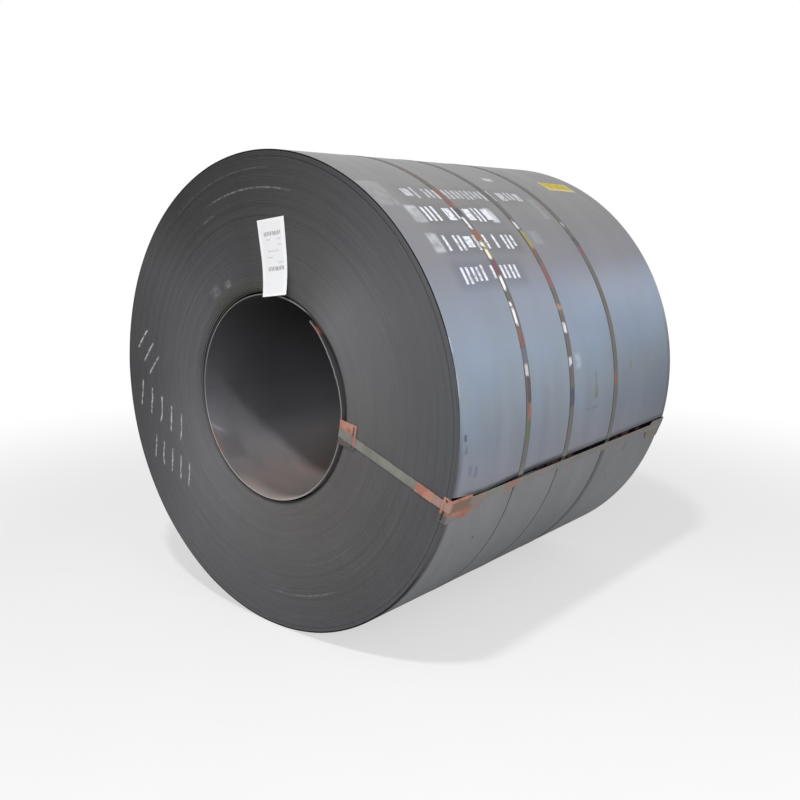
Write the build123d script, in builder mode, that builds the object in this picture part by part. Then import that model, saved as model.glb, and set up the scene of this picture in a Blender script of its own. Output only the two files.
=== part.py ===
from build123d import *
import math
import os

os.makedirs("parts", exist_ok=True)

# A coil of hot rolled steel strip lying on its side, with its eye level.
# The eye runs along Y, the end with the tag faces -Y, and the floor is Z = 0.
# Angles are seen from the tagged end, from +X towards +Z. Lengths are in mm.

# The strip, and the coil it is wound into
outer_diameter = 1750
bore_diameter = 750
strip_width = 1500
strip_gauge = 5

# The laps on the two ends, whose bands are shares of the way out from the bore
loose_laps = 2
inner_gap = 6
inner_gap_depth = 40
outer_gap = 3
outer_gap_depth = 20
telescoping = 4
band_edge_shares = (0, 0.13, 0.33, 0.57, 0.79, 1)
tagged_setback_shares = (0.8, 0, 0.4, 0.1, 0.5)
plain_setback_shares = (0.3, 0.7, 0, 0.5, 0.2)

# The two ends of the strip. The outer one is a little askew, so it has an angle at each station.
inner_tail_angle = 52
tail_blend_angle = 60
tail_station_shares = (-0.5, -0.4, -0.2, 0.5)
tail_angles = (-13.6, -15, -13.8, -12.6)

# The straps round the coil
strap_width = 32
strap_gauge = 0.8
strap_play = 0.1
girth_station_shares = (-0.245, -0.054, 0.168)
girth_seal_angles = (158, 171, 163)

# The strap through the eye, which drifts a little round the coil along its length.
# Its seal and its doubled stretch lie at shares of the way out from the bore to the shell.
eye_strap_angle = -20.5
eye_strap_offset = 66
eye_strap_drift = 20
eye_seal_share = 0.782
eye_lap_share = 0.8

# A seal, which is a clip crimped over the doubled strap
seal_length = 72
seal_gauge = 0.8
seal_play = 0.1
strap_lap_length = 124
crimp_width = 7
crimp_depth = 3.5
crimp_station_shares = (-0.3, 0, 0.3)

# The corner guards under the strap, each with a raised bar that keeps the strap on it
guard_gauge = 0.8
keeper_play = 0.2
keeper_width = 9
keeper_slot_width = 8
keeper_post_width = 7
inner_guard_angle = -10.3
inner_guard_width = 87
inner_guard_face_leg = 78
inner_guard_bore_leg = 100
outer_guard_offset = 52
outer_guard_width = 88
outer_guard_face_leg = 30
outer_guard_shell_leg = 128
outer_guard_corner = 24

# The paper tag on the end, which curls away at its foot, and the sticker on the shell
paper_gauge = 0.4
paper_play = 0.1
tag_width = 140
tag_foot_share = 0.87
tag_height = 267
tag_angle = 82.9
tag_out_share = 0.275
tag_turn = 6.8
tag_flat_share = 0.45
tag_curl = 18
tag_corner = 5
sticker_length = 210
sticker_height = 78
sticker_station_share = 0.375
sticker_angle = 62.5
sticker_turn = -3

# How far cuts run past what they cut
overrun = 10

# Sizes that follow
outer_radius = outer_diameter / 2
bore_radius = bore_diameter / 2
half_width = strip_width / 2
axis_height = outer_radius + strap_play + strap_gauge
wall = outer_radius - bore_radius
reach = outer_radius + overrun
loose_band = loose_laps * strip_gauge
tail_angle = sum(tail_angles) / len(tail_angles)
tail_drops = [-outer_radius * math.sin(math.radians(angle)) for angle in tail_angles]


def along(angle):
    """The direction out from the eye at an angle."""
    turn = math.radians(angle)
    return Vector(math.cos(turn), 0, math.sin(turn))


def end_plane(angle=0, station=0):
    """A plane across the eye, seen from the tagged end, with its x out along the angle."""
    return Plane(origin=(0, station, axis_height), x_dir=along(angle), z_dir=(0, -1, 0))


def shell_plane(angle, distance=0, station=0):
    """A plane that faces out from the eye, with its x along the eye and its y round the coil."""
    origin = Vector(0, station, axis_height) + along(angle) * distance
    return Plane(origin=origin, x_dir=(0, 1, 0), z_dir=along(angle))


def polar(radius, angle):
    """A point across the eye, in the coordinates of end_plane()."""
    return Vector(radius, 0).rotate(Axis.Z, angle)


def end_laps(setback_shares, side):
    """The corners of one end's laps, from the bore outwards, as (radius, station) pairs."""
    band_start = bore_radius + loose_band + inner_gap
    band_end = outer_radius - loose_band - outer_gap
    edges = [band_start + (band_end - band_start) * share for share in band_edge_shares]
    corners = [
        (bore_radius, half_width),
        (bore_radius + loose_band, half_width),
        (bore_radius + loose_band, half_width - inner_gap_depth),
        (band_start, half_width - inner_gap_depth),
    ]
    for inner, outer, share in zip(edges, edges[1:], setback_shares):
        corners.append((inner, half_width - telescoping * share))
        corners.append((outer, half_width - telescoping * share))
    corners += [
        (band_end, half_width - outer_gap_depth),
        (outer_radius - loose_band, half_width - outer_gap_depth),
        (outer_radius - loose_band, half_width),
        (outer_radius, half_width),
    ]
    return [(radius, side * station) for radius, station in corners]


def tail_drop(station):
    """How far below the middle of the eye the strip's outer end lies at a station."""
    stations = [strip_width * share for share in tail_station_shares]
    spans = zip(stations, stations[1:], tail_drops, tail_drops[1:])
    for start, stop, drop, next_drop in spans:
        if station <= stop:
            break
    return drop + (next_drop - drop) * (station - start) / (stop - start)


def tail_corner(drop):
    """The corner of the outer lap's end at a drop, in the coordinates of end_plane()."""
    return Vector(math.sqrt(outer_radius**2 - drop**2), -drop)


# Coil, whose outer lap ends in a step over a lap that settles back to the full radius
under_radius = outer_radius - strip_gauge
lap_shift = strip_gauge / math.sin(math.radians(tail_blend_angle))
under_centre = polar(lap_shift, tail_angle - 90)

with BuildPart() as outer_tail_step:
    with BuildSketch(end_plane()):
        Rectangle(reach, reach, align=(Align.MIN, Align.MAX))
        with Locations(under_centre):
            Circle(under_radius, mode=Mode.SUBTRACT)
    extrude(amount=half_width + overrun, both=True)
    tail_line = [
        (strip_width * share, axis_height - drop)
        for share, drop in zip(tail_station_shares, tail_drops)
    ]
    with BuildSketch(Plane.YZ):
        with BuildLine():
            Polyline(
                (-half_width - overrun, -overrun),
                (-half_width - overrun, tail_line[0][1]),
                *tail_line,
                (half_width + overrun, tail_line[-1][1]),
                (half_width + overrun, -overrun),
                close=True,
            )
        make_face()
    extrude(amount=reach, mode=Mode.INTERSECT)

with BuildPart() as inner_tail_step:
    with BuildSketch(end_plane(inner_tail_angle)):
        with Locations((0, -lap_shift)):
            Circle(bore_radius + strip_gauge)
        Rectangle(reach, reach, align=(Align.MIN, Align.MIN), mode=Mode.INTERSECT)
    extrude(amount=half_width + overrun, both=True)

with BuildPart() as coil:
    with BuildSketch(Plane.XY.offset(axis_height)):
        with BuildLine():
            Polyline(
                *end_laps(tagged_setback_shares, -1),
                *reversed(end_laps(plain_setback_shares, 1)),
                close=True,
            )
        make_face()
    revolve(axis=Axis((0, 0, axis_height), (0, 1, 0)))
    add(outer_tail_step.part, mode=Mode.SUBTRACT)
    add(inner_tail_step.part, mode=Mode.SUBTRACT)

coil.part.label = "coil"
export_step(coil.part, "parts/coil.step")


def make_seal(plane, foot, top, place=(0, 0), turn=0):
    """A crimped clip, open below, over a doubled strap that lies from foot to top.

    The plane faces out of the strap, with its x across the strap before the turn.
    """
    inside = strap_width + 2 * seal_play
    outside = inside + 2 * seal_gauge
    roof = top + seal_play + seal_gauge
    crimps = [
        (side * outside / 2, seal_length * share)
        for side in (-1, 1)
        for share in crimp_station_shares
    ]
    crimp_corners = [
        (crimp_depth / 2, 0),
        (0, crimp_width / 2),
        (-crimp_depth / 2, 0),
        (0, -crimp_width / 2),
    ]
    with BuildPart() as seal:
        with BuildSketch(plane.offset(foot)):
            with Locations(Location(place, turn)):
                Rectangle(outside, seal_length)
        extrude(amount=roof - foot)
        with BuildSketch(plane.offset(foot)):
            with Locations(Location(place, turn)):
                Rectangle(inside, seal_length)
                with Locations(*crimps):
                    Polygon(*crimp_corners)
        extrude(amount=roof - seal_gauge - foot, mode=Mode.SUBTRACT)
    return seal.part


def held_section(landing_angle, clear):
    """The shape that a tight strap goes round, a distance clear of the coil.

    It is straight from the corner of the tail to the landing angle, on the lap below.
    """
    under = under_radius + clear
    outer = outer_radius + clear
    facing = polar(1, landing_angle)
    lift_angle = math.degrees(math.acos((under_centre.dot(facing) + under) / outer))
    rejoin_cosine = (outer**2 + lap_shift**2 - under**2) / (2 * outer * lap_shift)
    rejoin_angle = tail_angle - 90 + math.degrees(math.acos(rejoin_cosine))
    corner = polar(outer, landing_angle + lift_angle)
    landing = under_centre + polar(under, landing_angle)
    settled = under_centre + polar(under, (landing_angle + rejoin_angle) / 2)
    rejoin = polar(outer, rejoin_angle)
    with BuildSketch() as section:
        with BuildLine():
            Line(corner, landing)
            ThreePointArc(landing, settled, rejoin)
            ThreePointArc(rejoin, (-outer, 0), corner)
        make_face()
    return section.sketch


# Straps round the coil, which bridge the step at the strip's outer end, and their seals
girth_foot = outer_radius + strap_play
girth_top = girth_foot + strap_gauge
girth_lap_turn = math.degrees(strap_lap_length / outer_radius)

for index, share in enumerate(girth_station_shares):
    station = strip_width * share
    corner = tail_corner(max(tail_drop(station - strap_width / 2), tail_drop(station + strap_width / 2)))
    to_corner = corner - under_centre
    lift_angle = math.degrees(math.acos(under_radius / to_corner.length))
    landing_angle = math.degrees(math.atan2(to_corner.Y, to_corner.X)) - lift_angle
    held = held_section(landing_angle, strap_play)
    wrapped = held_section(landing_angle, strap_play + strap_gauge)

    with BuildPart() as girth_strap:
        with BuildSketch(end_plane(station=station)):
            add(wrapped)
            add(held, mode=Mode.SUBTRACT)
        extrude(amount=strap_width / 2, both=True)
        with BuildSketch(end_plane(girth_seal_angles[index], station)):
            with BuildLine():
                under = CenterArc((0, 0), girth_top, -girth_lap_turn / 2, girth_lap_turn)
                over = CenterArc((0, 0), girth_top + strap_gauge, -girth_lap_turn / 2, girth_lap_turn)
                Line(under @ 0, over @ 0)
                Line(under @ 1, over @ 1)
            make_face()
        extrude(amount=strap_width / 2, both=True)
    name = f"girth_strap_{index + 1}"
    girth_strap.part.label = name
    export_step(girth_strap.part, f"parts/{name}.step")

    seal_plane = shell_plane(girth_seal_angles[index], 0, station)
    girth_seal = make_seal(seal_plane, girth_foot, girth_top + strap_gauge)
    name = f"girth_seal_{index + 1}"
    girth_seal.label = name
    export_step(girth_seal, f"parts/{name}.step")

# Seats of the strap through the eye, on the guards at the shell, the bore and the ends
eye_out = along(eye_strap_angle)
lowest_corner = tail_corner(max(tail_drops))
corner_reach = lowest_corner.X * eye_out.X + lowest_corner.Y * eye_out.Z
under_reach = under_centre.X * eye_out.X + under_centre.Y * eye_out.Z + under_radius
guard_seat = max(corner_reach, under_reach) + strap_play
strap_seat = guard_seat + guard_gauge
bore_guard_radius = bore_radius - strap_play
bore_strap_radius = bore_guard_radius - guard_gauge
end_strap_seat = half_width + guard_gauge
keeper_seat = end_strap_seat + strap_gauge + keeper_play
blank_width = 2 * (eye_strap_offset + eye_strap_drift + strap_width)


def is_end_bend(edge):
    """Whether an edge is one where the strap bends from an end onto the shell or into the bore."""
    across = abs((edge % (1 / 2)).Y) < 1 / 2
    middle = edge @ (1 / 2) - Vector(0, 0, axis_height)
    return across and edge.length > blank_width / 2 and middle.dot(eye_out) > 0


with BuildPart() as eye_strap_space:
    with BuildSketch(end_plane(eye_strap_angle)):
        Rectangle(strap_seat, blank_width, align=(Align.MIN, Align.CENTER))
        Circle(bore_strap_radius, mode=Mode.SUBTRACT)
    extrude(amount=end_strap_seat, both=True)
    fillet(eye_strap_space.edges().filter_by(is_end_bend), guard_gauge)

with BuildPart() as eye_strap:
    with BuildSketch(end_plane(eye_strap_angle)):
        Rectangle(strap_seat + strap_gauge, blank_width, align=(Align.MIN, Align.CENTER))
        Circle(bore_strap_radius - strap_gauge, mode=Mode.SUBTRACT)
    extrude(amount=end_strap_seat + strap_gauge, both=True)
    fillet(eye_strap.edges().filter_by(is_end_bend), guard_gauge + strap_gauge)
    add(eye_strap_space.part, mode=Mode.SUBTRACT)
    with BuildSketch(shell_plane(eye_strap_angle)):
        with Locations((0, eye_strap_offset + eye_strap_drift / 2)):
            drift_angle = math.degrees(math.atan(eye_strap_drift / strip_width))
            Rectangle(strip_width + 4 * overrun, strap_width, rotation=drift_angle)
    extrude(amount=reach, mode=Mode.INTERSECT)
    with BuildSketch(end_plane(eye_strap_angle, -end_strap_seat - strap_gauge)):
        with Locations((bore_radius + wall * eye_lap_share, eye_strap_offset)):
            Rectangle(strap_lap_length, strap_width)
    extrude(amount=strap_gauge)

eye_strap.part.label = "eye_strap"
export_step(eye_strap.part, "parts/eye_strap.step")

eye_seal = make_seal(
    end_plane(eye_strap_angle),
    end_strap_seat,
    end_strap_seat + 2 * strap_gauge,
    place=(bore_radius + wall * eye_seal_share, eye_strap_offset),
    turn=90,
)

eye_seal.label = "eye_seal"
export_step(eye_seal, "parts/eye_seal.step")


def keeper_block(plane, start, stop, width, height):
    """A block on a guard's leg, from one distance out from the eye to another."""
    with BuildPart() as block:
        with BuildSketch(plane):
            with Locations(((start + stop) / 2, 0)):
                Rectangle(stop - start, width)
        extrude(amount=height)
    return block.part


def is_guard_bend(edge):
    """Whether an edge is the outside of a guard's bend, over the end and over the shell or bore."""
    middle = edge @ (1 / 2)
    return abs(middle.Y + half_width + guard_gauge) < guard_gauge / 2


# Guards at the bore and at the shell, on each end, with the strap's way through under a bar
keeper_height = keeper_seat - half_width
keeper_top = keeper_height + guard_gauge

for end_name, drift in (("tagged", 0), ("plain", eye_strap_drift)):
    guard_plane = end_plane(inner_guard_angle + math.degrees(drift / bore_radius), -half_width)
    leg_end = bore_radius + inner_guard_face_leg
    slot_start = leg_end - keeper_width - keeper_slot_width
    slot_length = inner_guard_width - 2 * keeper_post_width
    bar = keeper_block(guard_plane, leg_end - keeper_width, leg_end, inner_guard_width, keeper_top)
    slot = keeper_block(guard_plane, slot_start, leg_end, slot_length, keeper_height)
    with BuildPart() as inner_guard:
        with BuildSketch(guard_plane):
            Rectangle(leg_end, inner_guard_width, align=(Align.MIN, Align.CENTER))
            Circle(bore_strap_radius, mode=Mode.SUBTRACT)
        extrude(amount=guard_gauge)
        with BuildSketch(guard_plane):
            Rectangle(bore_radius, inner_guard_width, align=(Align.MIN, Align.CENTER))
            Circle(bore_guard_radius, mode=Mode.INTERSECT)
            Circle(bore_strap_radius, mode=Mode.SUBTRACT)
        extrude(amount=-inner_guard_bore_leg)
        fillet(inner_guard.edges().filter_by(is_guard_bend).filter_by(GeomType.CIRCLE), guard_gauge)
        add(bar)
        add(slot, mode=Mode.SUBTRACT)
        if end_name == "plain":
            mirror(about=Plane.XZ, mode=Mode.REPLACE)
    name = f"inner_guard_{end_name}"
    inner_guard.part.label = name
    export_step(inner_guard.part, f"parts/{name}.step")

    guard_plane = end_plane(eye_strap_angle, -half_width)
    guard_middle = guard_plane.origin + guard_plane.y_dir * (outer_guard_offset + drift)
    guard_plane = Plane(origin=guard_middle, x_dir=guard_plane.x_dir, z_dir=guard_plane.z_dir)
    leg_end = guard_seat - outer_guard_face_leg
    slot_stop = leg_end + keeper_width + keeper_slot_width
    slot_length = outer_guard_width - 2 * keeper_post_width
    bar = keeper_block(guard_plane, leg_end, leg_end + keeper_width, outer_guard_width, keeper_top)
    slot = keeper_block(guard_plane, leg_end, slot_stop, slot_length, keeper_height)
    with BuildPart() as outer_guard:
        with BuildSketch(guard_plane):
            with Locations((guard_seat + guard_gauge, 0)):
                Rectangle(
                    guard_gauge + outer_guard_face_leg,
                    outer_guard_width,
                    align=(Align.MAX, Align.CENTER),
                )
        extrude(amount=guard_gauge)
        with BuildSketch(shell_plane(eye_strap_angle, guard_seat, -half_width - guard_gauge)):
            with Locations((0, outer_guard_offset + drift)):
                leg = Rectangle(
                    guard_gauge + outer_guard_shell_leg,
                    outer_guard_width,
                    align=(Align.MIN, Align.CENTER),
                )
            chamfer(leg.vertices().group_by(Axis.X)[-1], outer_guard_corner)
        extrude(amount=guard_gauge)
        corner_edges = outer_guard.edges().filter_by(is_guard_bend).group_by(Axis((0, 0, 0), eye_out))
        fillet(corner_edges[-1], guard_gauge)
        add(bar)
        add(slot, mode=Mode.SUBTRACT)
        if end_name == "plain":
            mirror(about=Plane.XZ, mode=Mode.REPLACE)
    name = f"outer_guard_{end_name}"
    outer_guard.part.label = name
    export_step(outer_guard.part, f"parts/{name}.step")

# Tag, held at its head and curling off the end towards its foot
tag_up = along(90 + tag_turn)
tag_side = along(tag_turn)
tag_middle = along(tag_angle) * (bore_radius + wall * tag_out_share)
tag_seat = tag_middle + Vector(0, -half_width - paper_play, axis_height)

with BuildPart() as tag:
    with BuildSketch(Plane(origin=tag_seat, x_dir=tag_up * -1, z_dir=tag_side * -1)):
        with BuildLine():
            flat = Line((-tag_height / 2, 0), (tag_height * (tag_flat_share - 1 / 2), 0))
            TangentArc(flat @ 1, (tag_height / 2, tag_curl), tangent=flat % 1)
            offset(amount=paper_gauge, side=Side.LEFT)
        make_face()
    extrude(amount=tag_width / 2, both=True)
    with BuildSketch(Plane(origin=tag_seat, x_dir=tag_side, z_dir=(0, -1, 0))) as tag_outline:
        Polygon(
            (-tag_width / 2, tag_height / 2),
            (tag_width / 2, tag_height / 2),
            (tag_width * tag_foot_share / 2, -tag_height / 2),
            (-tag_width * tag_foot_share / 2, -tag_height / 2),
        )
        fillet(tag_outline.vertices(), tag_corner)
    extrude(amount=tag_curl + paper_gauge + overrun, mode=Mode.INTERSECT)

tag.part.label = "tag"
export_step(tag.part, "parts/tag.step")

# Sticker, laid round the shell
sticker_foot = outer_radius + paper_play
with BuildPart() as sticker:
    with BuildSketch(end_plane(station=strip_width * sticker_station_share)):
        Circle(sticker_foot + paper_gauge)
        Circle(sticker_foot, mode=Mode.SUBTRACT)
    extrude(amount=sticker_length, both=True)
    with BuildSketch(shell_plane(sticker_angle, 0, strip_width * sticker_station_share)):
        Rectangle(sticker_length, sticker_height, rotation=sticker_turn)
    extrude(amount=reach, mode=Mode.INTERSECT)

sticker.part.label = "sticker"
export_step(sticker.part, "parts/sticker.step")
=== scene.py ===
"""A coil of hot rolled steel strip, lying with its eye level on a plain floor.

The eye runs along Y and the end with the tag faces -Y. Angles are seen from that end, from +X
towards +Z, in degrees. A station is a place along the eye. Lengths are in metres.
"""

import logging
import math
from contextlib import contextmanager
from dataclasses import dataclass
from enum import Enum
from typing import Any, Callable, Iterator, Sequence

import bmesh
import bpy
import numpy as np
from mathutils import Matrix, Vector


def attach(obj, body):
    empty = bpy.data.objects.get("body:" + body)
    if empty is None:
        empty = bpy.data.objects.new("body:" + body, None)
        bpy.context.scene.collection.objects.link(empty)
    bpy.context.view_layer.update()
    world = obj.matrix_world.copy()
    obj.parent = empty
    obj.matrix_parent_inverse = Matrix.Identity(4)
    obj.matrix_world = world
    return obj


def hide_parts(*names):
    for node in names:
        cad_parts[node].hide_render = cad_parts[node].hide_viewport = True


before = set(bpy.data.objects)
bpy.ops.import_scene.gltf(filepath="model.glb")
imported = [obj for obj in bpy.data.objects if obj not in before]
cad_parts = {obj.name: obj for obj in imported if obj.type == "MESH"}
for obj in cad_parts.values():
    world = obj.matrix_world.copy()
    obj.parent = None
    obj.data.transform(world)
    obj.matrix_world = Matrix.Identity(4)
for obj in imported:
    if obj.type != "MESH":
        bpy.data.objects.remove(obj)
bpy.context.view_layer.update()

LOG = logging.getLogger("steel_coil")
BODY = "root"
GIRTH_STATIONS = (-0.3675, -0.081, 0.252)

Span = tuple[float, float]
Point = tuple[float, float, float]
Colour = tuple[float, float, float]
Stops = Sequence[tuple[float, Colour]]
# A patch's two values across the coil, its two angles, how soft they are, its colour and share
Spot = tuple[float, float, Span, float, Colour, float]
Socket = bpy.types.NodeSocket
Material = bpy.types.Material
Piece = bpy.types.Object


def shade(red: float, green: float, blue: float) -> Colour:
    """Turns a screen colour, 0 to 255 a channel, into the linear colour that a shader takes."""
    shares = [value / 255 for value in (red, green, blue)]
    return tuple(s / 12.92 if s <= 0.04045 else ((s + 0.055) / 1.055) ** 2.4 for s in shares)


class Slot(Enum):
    """The names of the material slots."""

    STRIP = "strip_steel"
    STRAP = "strap_steel"
    GUARD = "coated_steel"
    TAG = "tag_paper"
    STICKER = "sticker_paper"


class End(Enum):
    """The two ends of the coil, by the side of the middle that each lies on."""

    TAGGED = -1
    PLAIN = 1


# ---------------------------------------------------------------- the rule of the winding


@dataclass(frozen=True)
class Winding:
    """The rule by which the strip is wound, from the tail in the bore to the tail on the shell.

    A place along the strip is a turn: 0 at the inner tail, and one more each time round.
    """

    bore_radius: float = 0.375
    outer_radius: float = 0.875
    half_width: float = 0.75
    gauge: float = 0.005
    thickness: float = 0.0049
    axis_height: float = 0.8759
    inner_tail_angle: float = 52.0
    tail_angle: float = -13.75
    tail_stations: tuple[float, ...] = (-0.75, -0.6, -0.3, 0.75)
    tail_angles: tuple[float, ...] = (-13.6, -15.0, -13.8, -12.6)
    blend_share: float = 1 / 6
    full_laps: int = 96
    narrow_gap: float = 0.0015
    wide_gap: float = 0.010
    wide_gap_angle: float = 8.0
    sag: float = 0.017
    sag_angle: float = 165.0
    sag_power: float = 3.4
    sag_laps: float = 2.2
    sag_start: float = 0.8
    spring: float = 0.008
    spring_reach: float = 0.15
    edge_play: float = 0.006

    @property
    def last_turn(self) -> float:
        """The turn at which the outer tail ends, at its middle."""
        return self.full_laps + 1 + (self.inner_tail_angle - self.tail_angle) / 360

    @property
    def under_shift(self) -> float:
        """How far the lap under the outer tail is off centre, where it settles outwards."""
        return self.gauge / math.sin(2 * math.pi * self.blend_share)

    def angle(self, turn: Any) -> Any:
        """The angle of a turn, in degrees."""
        return self.inner_tail_angle - 360 * turn

    def opening(self, angle: Any) -> Any:
        """How far the innermost lap has sprung from the next one at an angle."""
        swing = (1 + np.cos(np.radians(angle - self.wide_gap_angle))) / 2
        return self.narrow_gap + (self.wide_gap - self.narrow_gap) * swing**2

    def sagging(self, turn: np.ndarray) -> np.ndarray:
        """How far the first laps have sprung inwards on one side at places along the strip."""
        swing = (1 + np.cos(np.radians(self.angle(turn) - self.sag_angle))) / 2
        fading = np.exp(-np.maximum(turn - self.sag_start, 0) / self.sag_laps)
        return self.sag * swing**self.sag_power * fading

    def inner_side(self, turn: np.ndarray) -> np.ndarray:
        """The radius of the strip's inner side at places on the first laps."""
        second = self.bore_radius + self.gauge + self.opening(self.angle(turn))
        rise = np.clip((turn - 1 + self.blend_share) / self.blend_share, 0, 1)
        rise = rise * rise * (3 - 2 * rise)
        first = self.bore_radius + (second - self.bore_radius) * rise
        first = first - self.spring * np.sin(np.pi * np.clip(turn / self.spring_reach, 0, 1)) ** 2
        share = (turn - 1) / (self.last_turn - 2)
        last = self.outer_radius - 2 * self.gauge
        return np.where(turn < 1, first, second + (last - second) * share) - self.sagging(turn)

    def outer_side(self, turn: np.ndarray) -> np.ndarray:
        """The radius of the shell at places on the last lap and the end of the one below."""
        under = self.outer_radius - self.gauge
        past = turn - self.last_turn + 1
        swing = 2 * np.pi * np.clip(past, 0, 0.25)
        shift = self.under_shift
        settled = shift * np.sin(swing) + np.sqrt(under**2 - (shift * np.cos(swing)) ** 2)
        settled = np.minimum(settled + (under - math.sqrt(under**2 - shift**2)), self.outer_radius)
        return np.where(past < 0, under + self.gauge * past, settled)

    def end_turn(self, station: Any) -> Any:
        """The turn at which the outer tail ends at a station."""
        angle = np.interp(station, self.tail_stations, self.tail_angles)
        return self.last_turn + (self.tail_angle - angle) / 360

    def place(self, radius: Any, angle: Any, station: Any) -> np.ndarray:
        """Points at a radius from the eye, an angle in degrees and a station."""
        turn = np.radians(angle)
        height = self.axis_height + radius * np.sin(turn)
        parts = (radius * np.cos(turn), station + 0 * turn, height)
        return np.stack(np.broadcast_arrays(*parts), axis=-1)


WINDING = Winding()


# ---------------------------------------------------------------- meshes


def add_object(name: str, data: Any) -> Piece:
    """Makes an object of a mesh, a lamp or a camera and links it to the scene."""
    made = bpy.data.objects.new(name, data)
    bpy.context.scene.collection.objects.link(made)
    return made


def make_mesh(name: str, points: np.ndarray, faces: Sequence[Sequence[int]]) -> Piece:
    """Makes a mesh object in place from points and faces, which it turns outwards."""
    mesh = bpy.data.meshes.new(name)
    mesh.from_pydata(np.reshape(points, (-1, 3)).tolist(), [], faces)
    mesh.validate()
    turn_outwards(mesh)
    return add_object(name, mesh)


@contextmanager
def editing(mesh: bpy.types.Mesh) -> Iterator[bmesh.types.BMesh]:
    """Opens a mesh for changes and writes them back."""
    shape = bmesh.new()
    shape.from_mesh(mesh)
    yield shape
    shape.to_mesh(mesh)
    shape.free()


def turn_outwards(mesh: bpy.types.Mesh) -> None:
    """Recalculates a closed mesh's face directions."""
    with editing(mesh) as shape:
        bmesh.ops.recalc_face_normals(shape, faces=shape.faces)
        if shape.calc_volume(signed=True) < 0:
            bmesh.ops.reverse_faces(shape, faces=shape.faces)


def smooth_by_angle(mesh: bpy.types.Mesh, degrees: float) -> None:
    """Shades a mesh smooth, but for the edges that bend by more than an angle."""
    mesh.shade_smooth()
    limit = math.radians(degrees)
    with editing(mesh) as shape:
        for edge in shape.edges:
            edge.smooth = len(edge.link_faces) == 2 and edge.calc_face_angle(0) < limit


def loft(rings: np.ndarray, closed: bool) -> list[list[int]]:
    """The side faces of a shape that runs through rings of points.

    Args:
        rings: Points of every ring, as an array of rings, points and coordinates.
        closed: Whether the last ring joins the first.

    Returns:
        The point indices of each face.
    """
    count, around = rings.shape[:2]
    faces = []
    for ring in range(count if closed else count - 1):
        here, after = ring * around, (ring + 1) % count * around
        for index in range(around):
            side = (index + 1) % around
            faces.append([here + index, here + side, after + side, after + index])
    return faces


def finish_piece(
    piece: Piece, materials: Sequence[Material], node: str, sharp: float = 30.0
) -> None:
    """Smooths and dresses a piece, makes it ride on the body and hides the solid that it stands
    for.

    Args:
        piece: The piece, in place.
        materials: Its materials, in the order of its faces' indices.
        node: The solid that it stands for.
        sharp: The bend in degrees from which an edge stays sharp, or 0 for flat faces.
    """
    if sharp:
        smooth_by_angle(piece.data, sharp)
    piece.data.materials.clear()
    for material in materials:
        piece.data.materials.append(material)
    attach(piece, BODY)
    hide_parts(node)
    LOG.info("%s: %d faces", piece.name, len(piece.data.polygons))


def dress_node(node: str, material: Material) -> None:
    """Gives a solid of the model its material."""
    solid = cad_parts[node]
    if solid.material_slots:
        for place in solid.material_slots:
            place.material = material
    else:
        solid.data.materials.append(material)
    LOG.info("%s: solid kept", node)


# ---------------------------------------------------------------- node trees


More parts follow.
